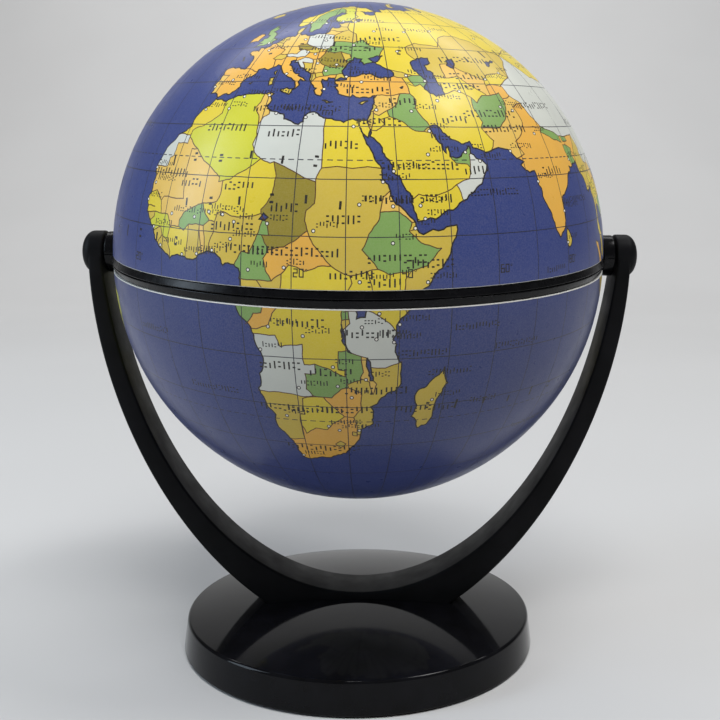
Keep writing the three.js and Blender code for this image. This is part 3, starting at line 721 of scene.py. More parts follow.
ISLANDS = outlines("""
    49.3 -12,50.4 -15.5,49.5 -17.2,47.2 -24.8,45.2 -25.6,43.5 -22.5,44.4 -20,44 -17,46 -15.8,48.3 -13.6;
    79.8 8,80.2 9.7,81.3 8.5,81.8 7.2,80.6 6,79.9 6.8;12.5 38,15.6 38.2,15.1 36.8,13 37.4;8.2 40.8,
    9.6 41.1,9.6 39.2,8.6 39;8.7 42.4,9.4 42.9,9.4 41.6;23.6 35.5,26.3 35.2,24.8 34.9;32.4 34.9,33 34.6,
    34.5 35.5,33 35.3;2.5 39.5,3.4 39.8,3 39.3;-5.5 50.1,-3 50.7,1.4 51.2,.8 51.7,1.7 52.7,.2 53.2,-.2 54,
    -1.8 55.7,-3.2 56,-2 57.5,-4 57.7,-3.1 58.6,-5 58.6,-6 56.6,-4.8 54.8,-3 54.3,-3.2 53.4,-4.6 53.1,
    -4.2 52.4,-5.2 51.8,-3 51.4,-4.4 51.1;-6.2 52.2,-10 51.6,-9.9 53.5,-8.2 55.2,-5.8 54.6;-24 65.6,
    -22.5 64,-18.5 63.4,-13.7 65,-16 66.4,-22 66.3;-73 78.2,-62 82,-45 82.5,-30 83.5,-20 81.5,-20 76,
    -22 72,-24 70,-32 68,-40 65,-43 60,-48 61,-52 64.5,-54 68,-55 71,-58 75,-68 76;-80 73.5,-72 71,
    -61 66.5,-66 62.5,-72 64.5,-73 68,-90 71;-90 77,-75 78.5,-62 82.5,-80 83,-92 81;-117 70,-105 69,
    -105 73,-115 73;-98 73,-91 73,-95 76,-105 76;12 79.5,16 77,22 79,20 80.3;52 71,57 70.8,56 73.5,
    68 76.8,60 76,53 73;130 33.4,131 31.2,132.4 33.5,135.8 33.6,138.5 34.7,140.8 35.4,142 39.5,141.3 41.4,
    140 40,139 38,136.8 37,133 35.5,131 34.4;140 41.6,143.2 42,145.5 43.3,142 45.4,141.4 43.4;142 46,
    143.4 49,143 54,142 51;120.1 23,120.8 22,121.9 25.1,121 25;108.7 19.2,110 18.4,111 19.9,109.6 20;
    120.3 16,120.7 18.5,122.2 18.3,121.6 15.5,124 13,120.8 13.8;122 7,125.5 6,126.3 8,125.3 9.7,123.5 8.6;
    109 1.5,110 -1.5,111.5 -3.3,114.5 -4,116.2 -3,117.5 1,119 5.2,117 7,115.3 5,113 3.2,111.3 2.5;
    95.3 5.6,97.5 5.2,100.3 2.6,103.5 -.5,106 -3,105.8 -5.8,104.5 -5.8,102.3 -4,100.4 -1,98.7 1.7;
    105.2 -6.8,108.6 -6.7,112.5 -6.9,114.4 -7.8,114.4 -8.7,110 -8.1,106.5 -7.4;119.5 -5.5,120.3 -3,
    122.5 -5,121.5 -2,123.3 -1,120.5 -.8,120.4 .8,124.8 1.5,120 1.3,118.9 -3;131 -.8,134 -.8,135 -3.2,
    138 -1.7,144.5 -3.8,147.8 -6.2,150.8 -10.4,147 -9.5,144 -7.7,138 -8.3,138 -5.5,133 -4;144.7 -40.8,
    148.3 -40.9,147.8 -43.2,146 -43.5;172.7 -34.5,175.5 -36.8,178.5 -37.7,177 -39.5,175.3 -41.6,
    173.8 -39.3,174.8 -38;172.7 -40.6,174.2 -41.7,172.8 -43.8,170.7 -45.9,168.4 -46.6,166.5 -45.9,
    170.5 -43;-84.8 21.9,-82.5 23.1,-79 22.6,-74.2 20.2,-77.5 19.9,-82 22.4;-74 19.8,-69.9 19.7,
    -68.5 18.4,-71.5 17.8,-74.4 18.4;-59 47.6,-55.5 51.5,-53 47,-56 47
""")

LAKES = outlines("""
    28 41.9,27.7 42.7,28.7 44,29.7 45.2,30.8 46.5,33 46.1,32.6 45.4,33.6 44.5,35.4 45,36.6 45.2,38 44.4,
    39.5 43.5,41.5 42.3,41.4 41.5,40 41,38.3 41,36.3 41.5,35.1 42,33.2 42,31.3 41.2,29.1 41.2;35 46.2,
    37.5 47.1,39.2 47.2,38 46,36.6 45.1;47 45.2,49.5 46.6,51 46.9,53 46.8,53 45.3,51 44.6,51.3 43.2,
    52.7 42.6,52.8 41.2,53 40,53.8 39,53.9 37.2,51.5 36.7,50 37.4,48.9 38.4,50.2 40.3,48.6 41.9,47.4 43.2;
    58.3 44.8,59 46.3,61 46.6,61.3 45.5,60 43.9;31.8 -.8,32.5 .3,33.8 .4,34.2 -.6,33.6 -2.2,32 -2.5;
    29.2 -3.4,29.7 -4.8,29.9 -6.2,31.1 -8.8,30.4 -8.5,29.3 -6.4,29.1 -4.6;34 -9.6,34.7 -11.5,35.2 -14.2,
    34.6 -14.2,34.2 -12,33.9 -10.4;13.3 12.7,14.1 13.8,15.1 13.1,14.4 12.5;104 51.5,108 53.2,109.7 55.6,
    108.5 53.8,106.5 51.8;74 45.2,74.2 46.4,79 46.8,76 46,74.6 45;43 38.4,43.4 39,42.6 38.6;30.5 61,
    31.5 61.6,33 61.2,31.8 60;-92 46.7,-89 48,-86 48.7,-84.7 47,-87 46.5;-87.8 42,-88 44,-86 46,-85 45.5,
    -86.3 43.5,-87 41.7;-84 45.8,-81.5 46,-80 44.7,-82.4 43.1,-83.8 44;-83.3 41.8,-79 42.8,-81.5 41.6;
    -79.6 43.3,-76.4 44,-77 43.3;-125 66,-119 67,-121 65.2;-116 62,-109 62.8,-113.5 61;-99 50.5,-98 53.5,
    -97 51.5
""")

BORDERS = [
    # northern Africa
    *outlines("""
        -1.9 35.4,-1.8 34.5,-1.5 32.5,-3.6 30.9,-5.5 29.8,-8.7 28.7,-8.7 26,-12 26,-12 23.4,-13 23,
        -13.1 21.3,-17.3 21.3;-13.4 27.7,-8.7 27.7;-8.7 27.3,-4.8 25,-6.6 25,-5.5 16.3,-5.3 15.5,
        -9.3 15.5,-11.4 15.6,-12.2 14.8;-4.8 25,1.2 21.1,3.2 19.8,3.2 19,4.2 19.2,5.8 19.5,12 23.5,
        14.2 22.7,15 23,24 19.5,24 15.7,22.5 14.5,22.3 12.7,22.9 11;8.6 37.1,8.3 35,7.5 33.8,9 32.1,
        9.5 30.2,9.9 28,9.4 26.2,10.2 24.7,12 23.5;9.5 30.2,10.3 31.8,11.5 32.4,11.5 33.3;25 31.9,25 22,
        24 20,24 19.5;25 22,37.2 22;15 23,15.9 20.4,15.5 17,13.5 14.4,13.6 13.7,14.1 13,13.5 11,12.5 8.6,
        11.5 6.7,10 7,8.5 4.4;13.6 13.7,12 13.2,9 12.9,7 13.1,5.3 13.7,4 13.5,3.6 11.8,3.6 10,2.7 8,
        2.7 6.1;1 11,1.5 9,1.7 5.9;0 11.1,.4 8.7,1.1 5.8;-2.8 11,-2.7 9,-3.1 4.9;-5.5 10.4,-4 9.8,-2.8 11,
        1 11,2.3 12,1 13.3,.2 15,-2 14.2,-4.4 13.1,-5.5 11.5,-5.5 10.4;2.3 12,3.6 11.8;.2 15,3.5 15.4,
        4.2 16.8,4.2 19.2;-12.2 14.8,-11.5 12.4,-9.3 12.4,-8 10.2,-5.5 10.4;-16.7 16.1,-14.5 16.6,
        -12.2 14.8;-16.9 12.4,-13.7 12.6,-11.5 12.4;-16.9 13.5,-14 13.5;-13.5 9,-11 10,-10.3 8.5,-8.4 7.6,
        -8 10.2;-11.6 6.8,-10.3 8.5;-8.4 7.6,-7.5 5.8,-7.5 4.2;-15.3 10.8,-13.7 11.7,-13.7 12.6
    """),
    # middle and eastern Africa
    *outlines("""
        14.1 13,15 12,15.5 10,14 10,15.5 7.5,18.5 8.1,20.5 9.2,22.9 11,24 8.7,27.4 5.1;15.5 7.5,14.5 6,
        15 4,16.2 2.2,18.1 3.5;9.5 2.3,13.2 2.2,16.2 2.2;13.2 2.2,14.5 .5,14 -2,12.4 -2.2,10.7 -4.3;
        18.1 3.5,17.7 0,16.2 -2,15.4 -4.1,12.9 -5,11.5 -5.1;18.1 3.5,19.5 5.1,22.5 4.1,25 5,27.4 5.1,
        30.8 3.5,34 4.2,35.9 4.6;12 -5.9,16.6 -5.9,17.5 -8,21.8 -7.3,22 -11.2,24 -11,27 -12,29.8 -13.4,
        29.8 -12.2,28.5 -12,28.6 -8.5,30.8 -8.3;30.8 3.5,31.2 2.2,29.7 0,29.2 -1.5,29.2 -3.5;35.9 4.6,
        33 7.9,34.3 10.6,36.2 13,36.4 14.3,37.1 17,38.6 18.2;36.4 14.3,40 14.4,42.4 12.5,41.8 11,
        43.3 11.3;42.4 12.5,43.2 12.6;41.8 11,43 10,44 9,47 8,48 8,45 5,42 4.1;35.9 4.6,38.1 3.6,42 4.1,
        41 2.8,41 -.9,41.6 -1.9;34 4.2,34.9 1,34 -1,37.6 -3,39.5 -4.9;29.6 -1.3,30.5 -1.1,34 -1;30.5 -1.1,
        30.8 -3.3,29.5 -4.5;29.2 -2.8,30.8 -2.6;30.8 -8.6,32.9 -9.4,34 -9.7;34.6 -11.5,37.5 -11.7,
        40.7 -10.5;32.9 -9.4,33.3 -12.5,32.7 -13.7,34.5 -14.5,35.3 -17.1,35.9 -14.9,35 -14;33 -14,
        30.2 -15,30.4 -15.7
    """),
    # southern Africa
    *outlines("""
        25.3 -17.8,27 -17.9,28.9 -16,30.4 -15.7,33 -16.7,32.8 -19,32.9 -20.5,31.3 -22.4,32 -24.5,32 -26.8,
        33 -26.9;25.3 -17.8,27.8 -20.5,29.4 -22.2,31.3 -22.4;29.4 -22.2,26.8 -24,25.5 -25.6,23 -25.3,
        20.7 -26.9,20 -24.8;20 -28.4,20 -22,21 -22,21 -18.3,25.3 -17.8;20 -28.4,17.5 -28.8,16.2 -28.6;
        11.6 -17.3,14 -17.4,18.5 -17.4,21.4 -17.9,23.3 -17.6,25.3 -17.8;24 -11,24 -13,22 -13,22 -16.2,
        23.3 -17.6;27 -29.6,28.2 -28.7,29.4 -29.5,28.2 -30.6,27 -29.6;31 -26,32 -26.3,32 -27.2,31 -27,
        31 -26
    """),
    # western Asia
    *outlines("""
        34.9 29.3,34.2 31.5;35 29.3,35.5 31.5,35.6 33.2,34.9 33.1;35.6 33.2,36.5 34.2,35.9 34.7;35.9 36,
        36.6 36.8,39 36.7,42.3 37.2,44.8 37.2,44.4 39.5,43.5 41.1,41.3 41.5;42.3 37.2,41.2 34.8,38.8 33.4,
        39.2 32.1,42 31.1,44.7 29.2,46.5 29.1,48.8 28.5;46.5 29.1,48 30.1;35.6 32.8,36.8 32.3,38.8 33.4;
        39.2 32.1,37 31.5,38 30.5,36.1 29.2,34.8 29.4;48.3 29.9,47.7 31,46 33,45.5 34,46 35.8,44.8 37.2;
        39.8 43.5,43.8 42.6,46.5 41.8,48.8 41.8;43.5 41.1,45 41.3,46.5 41.8;45 41.3,46.5 39,44.6 39.7;
        46.5 39,48 39.6,49.1 38.4;42.6 16.4,44 17.4,47 16.9,52 19,55 20,55.7 22,55.2 22.7,52.6 22.9,
        51.4 24.4;52 19,53.2 15.8;55.7 22,56 24.5,56.6 24.9;53.7 37.3,57 38.2,61.2 36.6,60.6 34,61.8 31,
        60.9 29.8,63.2 27.2,61.6 25;60.9 29.8,66.3 29.9,69.3 31.9,71.1 34.5,71.5 36.4,74.8 37.2,77.8 35.5,
        79 32.5,81 30.2,88.1 27.9,91.7 27.8,97.3 28.2;61.2 36.6,62.3 35.3,64.8 37.1,67.8 37.2,71.3 37.9,
        71.5 36.4;68 23.6,71 24.4,69.6 27,72.9 29,74.5 31,74.3 33,73.8 34.5,77.8 35.5;81 30.2,80.1 28.8,
        84 27.4,88.1 26.5,88.1 27.9;88.9 27.9,89 26.8,92 26.9,91.7 27.8;89 21.7,88.1 24.5,88.3 26,89.8 26,
        92.3 25.1,91.2 23.8,92.3 22,92.3 20.7
    """),
    # eastern Asia
    *outlines("""
        92.3 22,93.4 24.2,97.3 28.2,98.6 25,97.6 24,99 22,101.2 21.5,102.2 22.4,105.3 23.3,108 21.4;
        101.2 21.5,100.1 20.4,97.5 18.8,98.5 16,99.1 12,98.5 10;100.1 20.4,101 17.8,104 18.3,105.5 15.5,
        105.5 14.3;102.2 22.4,104.7 20,105.5 18.5,107.5 15.5,107.5 14.3,106 11,104.4 10.3;107.5 14.3,
        105.5 14.3,102.5 13.8,102.9 11.6;100 6.4,102.4 6.2;49.3 45.8,47 48,47 50,51 51.6,59 50.6,62 54,
        70 55.2,77 53.5,80 51,87.3 49.1,85.5 47,82.5 45.2,80.2 42.1,75 43,71 42.6,68.5 41,66 42,62 43.5,
        58.6 45.4;58.6 45.2,56 45,56 41.3,52.6 41.8;56 41.3,60 42,62 40,66.5 37.3;80.2 42.1,74 39.9,
        74.8 37.2;67.8 37.2,68 39.5,70.5 40,73.5 39.5,74 39.9;68 39.5,68.5 41;87.3 49.1,91 46,96 42.7,
        105 41.6,112 43.5,116 46,119.9 46.7,116 49.8,120 53.3,126 52,128 49.6,135 48.4,131 45,130.7 42.2;
        87.3 49.1,98.5 51.5,102 51.3,108 49.5,116 49.8;124.2 38.9,128 42,130.9 42.3;125 37.4,128.7 38.6;
        141 -2.4,141 -9.3;109.4 2,112 1.3,115.8 4.3,117.8 4.1
    """),
    # Europe
    *outlines("""
        -9 41.9,-6.2 41.7,-7 39.5,-7.4 37;-2 43.4,3.4 42.4;7.5 43.6,7 45.9,6 46.2,7.5 47.6,9.6 47.5,
        10.4 46.8,8.9 45.9,7 45.9;7.5 47.6,8.2 49,6.4 49.5,2.5 51.3;6.4 49.5,6 51.5,7.1 53.7;3.4 51.5,
        6 51.2;8.5 54.9,10.2 54.8;14.2 54,14.8 51,12.1 50.3,13.8 48.7,13 47.6,9.6 47.5;10.4 46.8,
        13.7 46.5,16.1 46.8,17 48,15 49,13.8 48.7;13.7 46.5,13.6 45.5;13.6 45.4,16.3 46.5,18.8 45.9,
        20.3 46.1,21.4 44.8,22.7 44.2,25.5 43.6,28.8 43.7;14.8 51,18.8 49.5,22.5 49.1,24 50.7,23.6 52.2,
        23.5 54,19.6 54.5;18.8 49.5,17 48.9,15 49;17 48,18.8 47.8,22.2 48.4,21 46.3,20.3 46.1;22.5 49.1,
        22.2 48.4,24.8 47.8,26.7 48.3,28.2 45.5,29.9 45.3;26.7 48.3,29.5 47.5,30 46.4,28.2 45.5;23.6 51.6,
        30.5 51.3,33.5 52.3,35.5 50.4,40 49.6,38 46.6;22.7 44.2,22.4 42.3,23 41.3,26.3 41.7,28.1 42;
        26.3 41.7,26.1 40.6;23 41.3,21 40.9,19.9 39.6;21 40.9,20.5 42,19.3 41.9;22.4 42.3,20.5 42,
        18.4 42.3;15.9 45.2,19.2 44.9,19.3 43.5,18.5 42.3;15.9 45.2,17.5 43;18.8 45.9,19.2 44.9;23.5 54,
        26.6 55.7,28.2 56.2,27.5 57.5,28 59.7;26.6 55.7,21 56.1;27.5 57.5,24.3 57.9;28.2 56.2,31 54.6,
        31.6 51.2;27.8 60.4,31.5 62.9,29.5 65,30 67.7,28.6 69,31 69.9;24.5 65,23.7 67.8,20.6 69.1,28.6 69;
        11.2 58.8,12.2 61,12.2 63.5,14.5 66,18 68.5,20.6 69.1
    """),
    # the Americas
    *outlines("""
        -123.2 49,-95 49,-89.5 48,-84.5 46.5,-82.5 45,-82.5 42,-79 43,-76 44.2,-71.5 45,-69.2 47.4,
        -67.2 45;-141 69.8,-141 60.3,-130 55.3;-117.3 32.5,-111 31.3,-106.5 31.8,-103 29,-101 29.5,
        -97 25.9;-92.4 14.3,-91 17.8,-89.2 17.8,-89.2 15.9;-87.7 12.9,-83 15;-85.9 11.1,-83.5 10.9;
        -83 8.1,-82.6 9.7;-77.9 7.2,-77.2 8.8;-71.4 12,-72.5 8,-67.4 6.2,-67 1.2,-69.8 1,-69.9 -4.2,
        -73.8 -7.3,-70.6 -11,-65.4 -10,-60.3 -13.5,-58 -17.5,-57.8 -22.1,-54.6 -25.6,-53.8 -27.2,
        -57.6 -30.2,-52.8 -34.3;-67 1.2,-63.4 2.2,-60.8 5.2,-60 8.5;-60.8 5.2,-56.5 1.9,-52.7 2.3,
        -51.4 4.4;-80.4 -3.4,-78.7 -4.9,-75.2 0,-79 1.6;-75.2 0,-69.9 -4.2;-70.6 -18.3,-69.5 -17.5,
        -69 -12.5,-70.6 -11;-69.5 -17.5,-68.3 -21,-68.5 -27,-70.2 -36,-72 -46,-73 -50,-68.8 -52.4;
        -68.9 -22.5,-62.8 -22,-62 -19.7,-57.6 -20;-62.8 -22,-57.7 -25.3,-56 -27.3,-54.6 -25.6;-57.6 -30.2,
        -58.5 -34
    """),
]

# one place inside each country, by the colour it is printed in
PRINTED = {
    "lime": """
        3 28,-55 -10,25 64,-64 7,-71 -36,113 1,-11.4 11.4
    """,
    "yellow": """
        45 24,9 17,29 27,-6 32,22 -3,24 2.5,55 33,47.5 15.6,40 57,23.5 -22,38 2.5,38 -2.2,32.5 2.3,10 61,
        60 39,36.2 31,103 47,-103 24,100 15.5,-63 -35,79 42,126.5 40,138 -5,134 -25,-4.5 8,-110 60,
        -14.6 15
    """,
    "pale": """
        17 27,17.5 -12.5,35 -6,-14 24,85 34,57 20.5,16 45.5,20 52,-90 40,-64 -17,-78 -1.5,-60 3.5,
        106 20.5,147 -6,-70 68,0 -85,12 47.3
    """,
    "khaki": """
        30 15,8.5 10,67 48,46 5.5,16.5 -21,38.5 -14.5,46.5 -19.5,-74 4,128 37.2,-42 72,-86 13.2,96 21,
        -1.3 8.6,28 53
    """,
    "olive": """
        18.7 15,-150 65,25.5 45.7,118 0,-56 -33,16 49.9,113 2.4
    """,
    "green": """
        12.5 5.5,39 8.5,27 -14.5,66 34,43.5 33,84 28.3,25 43,-58.5 -23.5,104 13,15 62,-2 12.5,11.9 -1.6,
        31 48.7,47.5 40.4,55.5 23.3,-5 52.3,90 24,90.5 27.3,30 -2
    """,
    "orange": """
        21 6.5,24 -30,79 23,34 39,2.5 46.8,-4 40,-76 -12,140 36,13 43,106.5 15,30 -19,121 17,18.9 47,
        70.5 38.6,15 -1.6,100 2,-8 53,23 38.8
    """,
    "peach": """
        -2 18,-11 19,69 28.5,10.5 51,-9 39.5,-85 22,103 19.8,38.5 35,34 -13.4,62 41.5,23.5 55.5,1 8,
        38 15.8,10 34,21.5 43.5,174 -40
    """,
}

CITIES = lonlat("""
    3 36.3,13.2 32.6,20.4 31.8,31.2 30,-7.5 33.3,-17.1 14.7,-15.7 18,-8 12.6,-1.5 12.4,2 13.5,7.5 9,
    3.5 6.8,-.2 5.9,-4 5.5,-10.6 6.6,-13.4 9.8,11.5 3.9,15 12,18.6 4.6,32.5 15.6,37.1 19.6,38.9 15.3,
    38.7 9,43 11.5,45.2 2.2,32.6 2.4,35.7 -6.2,39 -6.8,15.3 -4.4,13.4 -8.8,28.3 -15.4,31 -17.8,33.8 -14,
    32.5 -25.7,28.2 -25.7,18.6 -33.7,25.9 -24.7,17 -22.6,47.5 -18.9,46.7 24.6,39.3 21.5,44.2 15.4,45 13.1,
    58.3 23.3,55.2 25,47.8 29.2,44.4 33.3,36.3 33.5,32.9 39.9,29 41.2,23.7 38.1,51.4 35.7,69.2 34.5,
    73 33.7,67 25.1,77.2 28.6,73 19,88.4 22.9,80.1 13,80.1 7,69.2 41.3,77 43.3,58.4 38,49.6 40.4,
    44.8 41.7,37.6 55.8,30.5 50.5,21 52,13.4 52.5,2.3 48.9,-.3 51.5,-3.7 40.4,-9 38.7,12.5 41.9,16.4 48.2,
    19 47.5,26 44.4,20.5 44.8,23.3 42.7,10.7 60,18 59.3,25 60.4,30.4 60,116.4 39.9,121.2 31.2,139.6 35.8,
    127 37.4,121 14.8,100.5 14,105.8 21,106.6 10.9,103.7 1.6,106.8 -6.4,151 -33.7,145 -37.6,116 -32,
    152.8 -27.4,131 -12.7,174.8 -37,-74.2 40.9,-77 38.9,-87.8 41.6,-118.2 34,-122.2 37.8,-122.2 47.6,
    -95.5 29.8,-80.4 26,-99 19.4,-82.3 22.9,-74 4.6,-66.9 10.3,-76.8 -12,-68 -16.5,-70.8 -33.4,
    -58.6 -34.8,-43.4 -22.7,-46.7 -23.4,-47.9 -15.8,-78.5 0,-79.6 43.8,-73.6 45.6,-149.7 61.4,-105 39.8,
    -17 20.9,5.3 13.2,8 12,10 36.6,0 33.5,33 -4,36.2 -1.6,24 11,22 -5.8,27.5 -11.5,20.5 -16,40 -3.6,
    103 52,83 55,61 56.8,44 48.6,49.2 55.8
""")

# where each country's name would stand, with its number of marks
COUNTRY_MARKS = """
    2 29.6 7,16.5 28.6 5,29.2 26.4 5,30 13 5,18.6 14.9 4,8.6 18.4 5,-3.5 18.6 4,-11 20.3 8,8 11.2 7,
    12.5 7.4 8,20.5 7.4 13,45.5 22.6 11,40 6.3 8,46.2 5.4 7,37.6 2.2 5,31.5 3.6 6,23 .2 3,22 -3.4 7,
    35 -5.2 8,17.5 -11.6 6,27.5 -12.6 6,36.4 -16.4 9,30 -20.6 8,23.8 -20.7 8,16.8 -20.7 7,24.5 -31 11,
    46.8 -20.8 9,55 31.6 4,43.2 35.4 4,35 38 6,65.5 33 10,68.5 29.8 8,79.5 21 5,67 46.8 10,31 49.4 7,
    40 53 6,57.6 21.6 4,48 16.6 5,38.6 16.5 7,37.4 31 6,60 39.3 7,64 42 6,84.5 35 9,103 31 5,103 46.6 8,
    95 20.6 5,100 16.8 6,-100 40.5 13,-102 56.5 6,-52 -8 6,-65 -34 9,-74.5 -9.5 4,134 -23 9,112.5 0 6,
    139 37.2 5,100 62 6
"""

SEA_MARKS = """
    61 17.5 11,76 2.5 6,86 15 11,18 34 17,45 -9 10,51 -13 9,60 -20 6,66 -9 11,-14 -8 10,1 -18 12,
    56 -4.6 10,-40 30 14,-150 10 12,160 20 11,-120 -20 12,80 -30 11,-20 -35 13,38.2 20.4 3,50.6 28 4
"""

# big wide-spaced marks of continents, deserts and oceans
REGION_MARKS = """
    15.5 16.2 6,9.6 23.9 6,24 50.5 6,67 -21 6,92 50 5,-100 49 12,-58 3 9,134 -28 9,-25 8 8,-140 -8 7
"""

# ---------------------------------------------------------------- inks, later ones over earlier ones

OCEAN = srgb("344380")
LAND_INKS = {
    "lime": srgb("d3d233"), "yellow": srgb("e8d036"), "pale": srgb("d5d8cf"), "khaki": srgb("d8bc48"),
    "olive": srgb("9a8a2c"), "green": srgb("86ab5c"), "orange": srgb("efb64a"), "peach": srgb("ebc25c"),
}
INKS = {
    "graticule": srgb("232536"), "tropic": srgb("232536"), "border": srgb("59391c"),
    "coast": srgb("1f1a17"), "mark": srgb("1b1714"), "dot_edge": srgb("1b1714"), "dot": srgb("f2efe6"),
}
INK_ORDER = list(INKS)
INK_WIDTH = {
    "graticule": 0.15 * MM, "tropic": 0.17 * MM, "border": 0.18 * MM,
    "coast": 0.25 * MM, "mark": 0.2 * MM,
}
WALLS = ("border", "coast")  # the lines that part one country's colour from the next
SOUTH_PAINTED_SHADE_SHARE = 0.78  # painted shade: the southern print is darkened to stand for the shade under the ball

# ---------------------------------------------------------------- flat sheets


def printed_latitude(latitude):
    """The print is stretched a little away from the equator, and meets the pole again."""
    stretch = 0.065
    return latitude * (1 + stretch * (1 - (latitude / 90) ** 2))


def direction(longitude, latitude):
    """Unit vector from the hemisphere's centre, in the ring's own frame."""
    turn, rise = math.radians(longitude - FRONT_LONGITUDE), math.radians(printed_latitude(latitude))
    return Vector((math.cos(rise) * math.sin(turn), -math.cos(rise) * math.cos(turn), math.sin(rise)))


def upright(way):
    """East and north on the ball at a unit vector."""
    east = Vector((0, 0, 1)).cross(way).normalized()
    return east, way.cross(east)


class Sheet:
    """The print of one hemisphere, laid flat round its pole: one unit is one degree from the pole."""

    def __init__(self, side):
        self.side = side
        rim = math.degrees(math.asin((SKIN_BOTTOM[side] - HEMISPHERE_LIFT) / BALL_RADIUS))
        self.reach = 90 - rim
        self.places, self.faces, self.inks = [], [], []

    def flat(self, way):
        radius = 90 - self.side * math.degrees(math.asin(max(-1, min(1, way.z))))
        across = math.hypot(way.x, way.y) or 1
        return Vector((radius * way.x / across, radius * way.y / across))

    def raised(self, place, radius):
        """The point of the ball, in the ring's frame, for a flat place, and the way out there."""
        rise = math.radians(90 - place.length)
        across = place.normalized() * math.cos(rise)
        way = Vector((across.x, across.y, self.side * math.sin(rise)))
        return way * radius + Vector((0, 0, self.side * HEMISPHERE_LIFT)), way

    def add(self, ways, ink):
        """Adds one inked polygon, given by unit vectors, if it is on this hemisphere. False means
        that it isn't convex, and was left out."""
        flat = [self.flat(way) for way in ways]
        if min(place.length for place in flat) > self.reach:
            return True
        if sum(a.cross(b) for a, b in zip(flat, flat[1:] + flat[:1])) < 0:
            flat.reverse()
        corners = zip(flat, flat[1:] + flat[:1], flat[2:] + flat[:2])
        if min((b - a).cross(c - b) for a, b, c in corners) <= TINY:
            return False
        start = len(self.places)
        self.places += flat
        self.faces.append(list(range(start, start + len(flat))))
        self.inks.append(ink)
        return True

    def stroke(self, ways, ink, width=None, closed=False):
        """Adds a line of the ink's width along unit vectors, with mitred corners where they fit."""
        same_place, mitre_limit = 1e-6, 0.6
        half = (width or INK_WIDTH[ink]) / 2 / BALL_RADIUS
        ways = ways[:1] + [way for before, way in zip(ways, ways[1:])
                           if (way - before).length > same_place]
        following = ways[1:] + ways[:1] if closed else ways[1:]
        sides = [way.cross(onward - way).normalized() for way, onward in zip(ways, following)]
        before = [sides[-1] if closed else sides[0], *sides]
        after = [*sides, sides[-1]]
        offsets = []
        for one, two in zip(before, after):
            mean = (one + two) if (one + two).length > mitre_limit else two.copy()
            mean.normalize()
            offsets.append(mean * half / max(mean.dot(two), mitre_limit))
        if closed:
            offsets[-1] = offsets[0]
        for index, (way, onward) in enumerate(zip(ways, following)):
            start, end, plain = offsets[index], offsets[index + 1], sides[index] * half
            for near, far in ((start, end), (plain, plain)):
                quad = [way - near, onward - far, onward + far, way + near]
                if self.add([corner.normalized() for corner in quad], ink):
                    break

    def line(self, places, ink, closed=False):
        """Adds a line along (longitude, latitude) places."""
        self.stroke([direction(*place) for place in places], ink, closed=closed)

    def disc(self, way, radius, ink, corners=10):
        east, north = upright(way)
        spread = radius / BALL_RADIUS
        angles = [TAU * index / corners for index in range(corners)]
        edge = [way + (east * math.cos(a) + north * math.sin(a)) * spread for a in angles]
        self.add([place.normalized() for place in edge], ink)


def finer(points, closed, rough, rng):
    """Splits the long stretches of an outline and moves the new points a little aside, as a real
    coast wanders. The distance is a share of the stretch. Very long stretches stay straight."""
    split_from, straight_from, steepest = 0.9, 9, 80  # degrees
    made = []
    following = points[1:] + points[:1] if closed else points[1:]
    for (x, y), (x2, y2) in zip(points, following):
        made.append((x, y))
        x2 += 360 * round((x - x2) / 360)  # the short way round
        squeeze = math.cos(math.radians(min(abs(y + y2) / 2, steepest)))
        length = math.hypot((x2 - x) * squeeze, y2 - y)
        if length > split_from:
            aside = rng.uniform(-rough, rough) if length < straight_from else 0
            made.append(((x + x2) / 2 - (y2 - y) * aside, (y + y2) / 2 + (x2 - x) * aside))
    return made if closed else made + [points[-1]]


def wandering(points, closed, rough, seed):
    rng = random.Random(seed)
    for _ in range(2):
        points = finer(points, closed, rough, rng)
    return points


COAST_ROUGHNESS, BORDER_ROUGHNESS = 0.16, 0.06
CONTINENTS = [OLD_WORLD, AMERICAS, AUSTRALIA, ANTARCTICA]
COASTS = [wandering(outline, True, COAST_ROUGHNESS, seed)
          for seed, outline in enumerate([*CONTINENTS, *ISLANDS, *LAKES])]

# ---------------------------------------------------------------- drawing on a sheet


def stepped(start, end, step):
    """Places from start to end, evenly spaced by about one step."""
    count = max(1, math.ceil(max(abs(end[0] - start[0]), abs(end[1] - start[1])) / step))
    return [(start[0] + (end[0] - start[0]) * i / count, start[1] + (end[1] - start[1]) * i / count)
            for i in range(count + 1)]


def draw_graticule(sheet):
    """Meridians and parallels every ten degrees, and a dashed tropic and polar circle. Two
    meridians in three stop short of the pole."""
    grid, step, short_of_pole = 10, 5, 0.01
    dash_pitch, dash_length = 2, 1.2
    for longitude in range(-180, 180, grid):
        top = 90 if longitude % (3 * grid) == 0 else 90 - grid
        meridian = stepped((longitude, 0), (longitude, sheet.side * top), step)
        meridian[-1] = (longitude, sheet.side * (top - short_of_pole))
        sheet.line(meridian, "graticule")
    for latitude in range(grid, 90, grid):
        parallel = stepped((-180, sheet.side * latitude), (180, sheet.side * latitude), step)
        sheet.line(parallel[:-1], "graticule", closed=True)
    for circle in (23.5, 66.5):
        latitude = sheet.side * circle
        for start in range(-180, 180, dash_pitch):
            sheet.line([(start, latitude), (start + dash_length, latitude)], "tropic")


def draw_lines(sheet):
    for outline in COASTS:
        sheet.line(outline, "coast", closed=True)
    for outline in BORDERS:
        sheet.line(wandering(outline, False, BORDER_ROUGHNESS, len(outline)), "border")


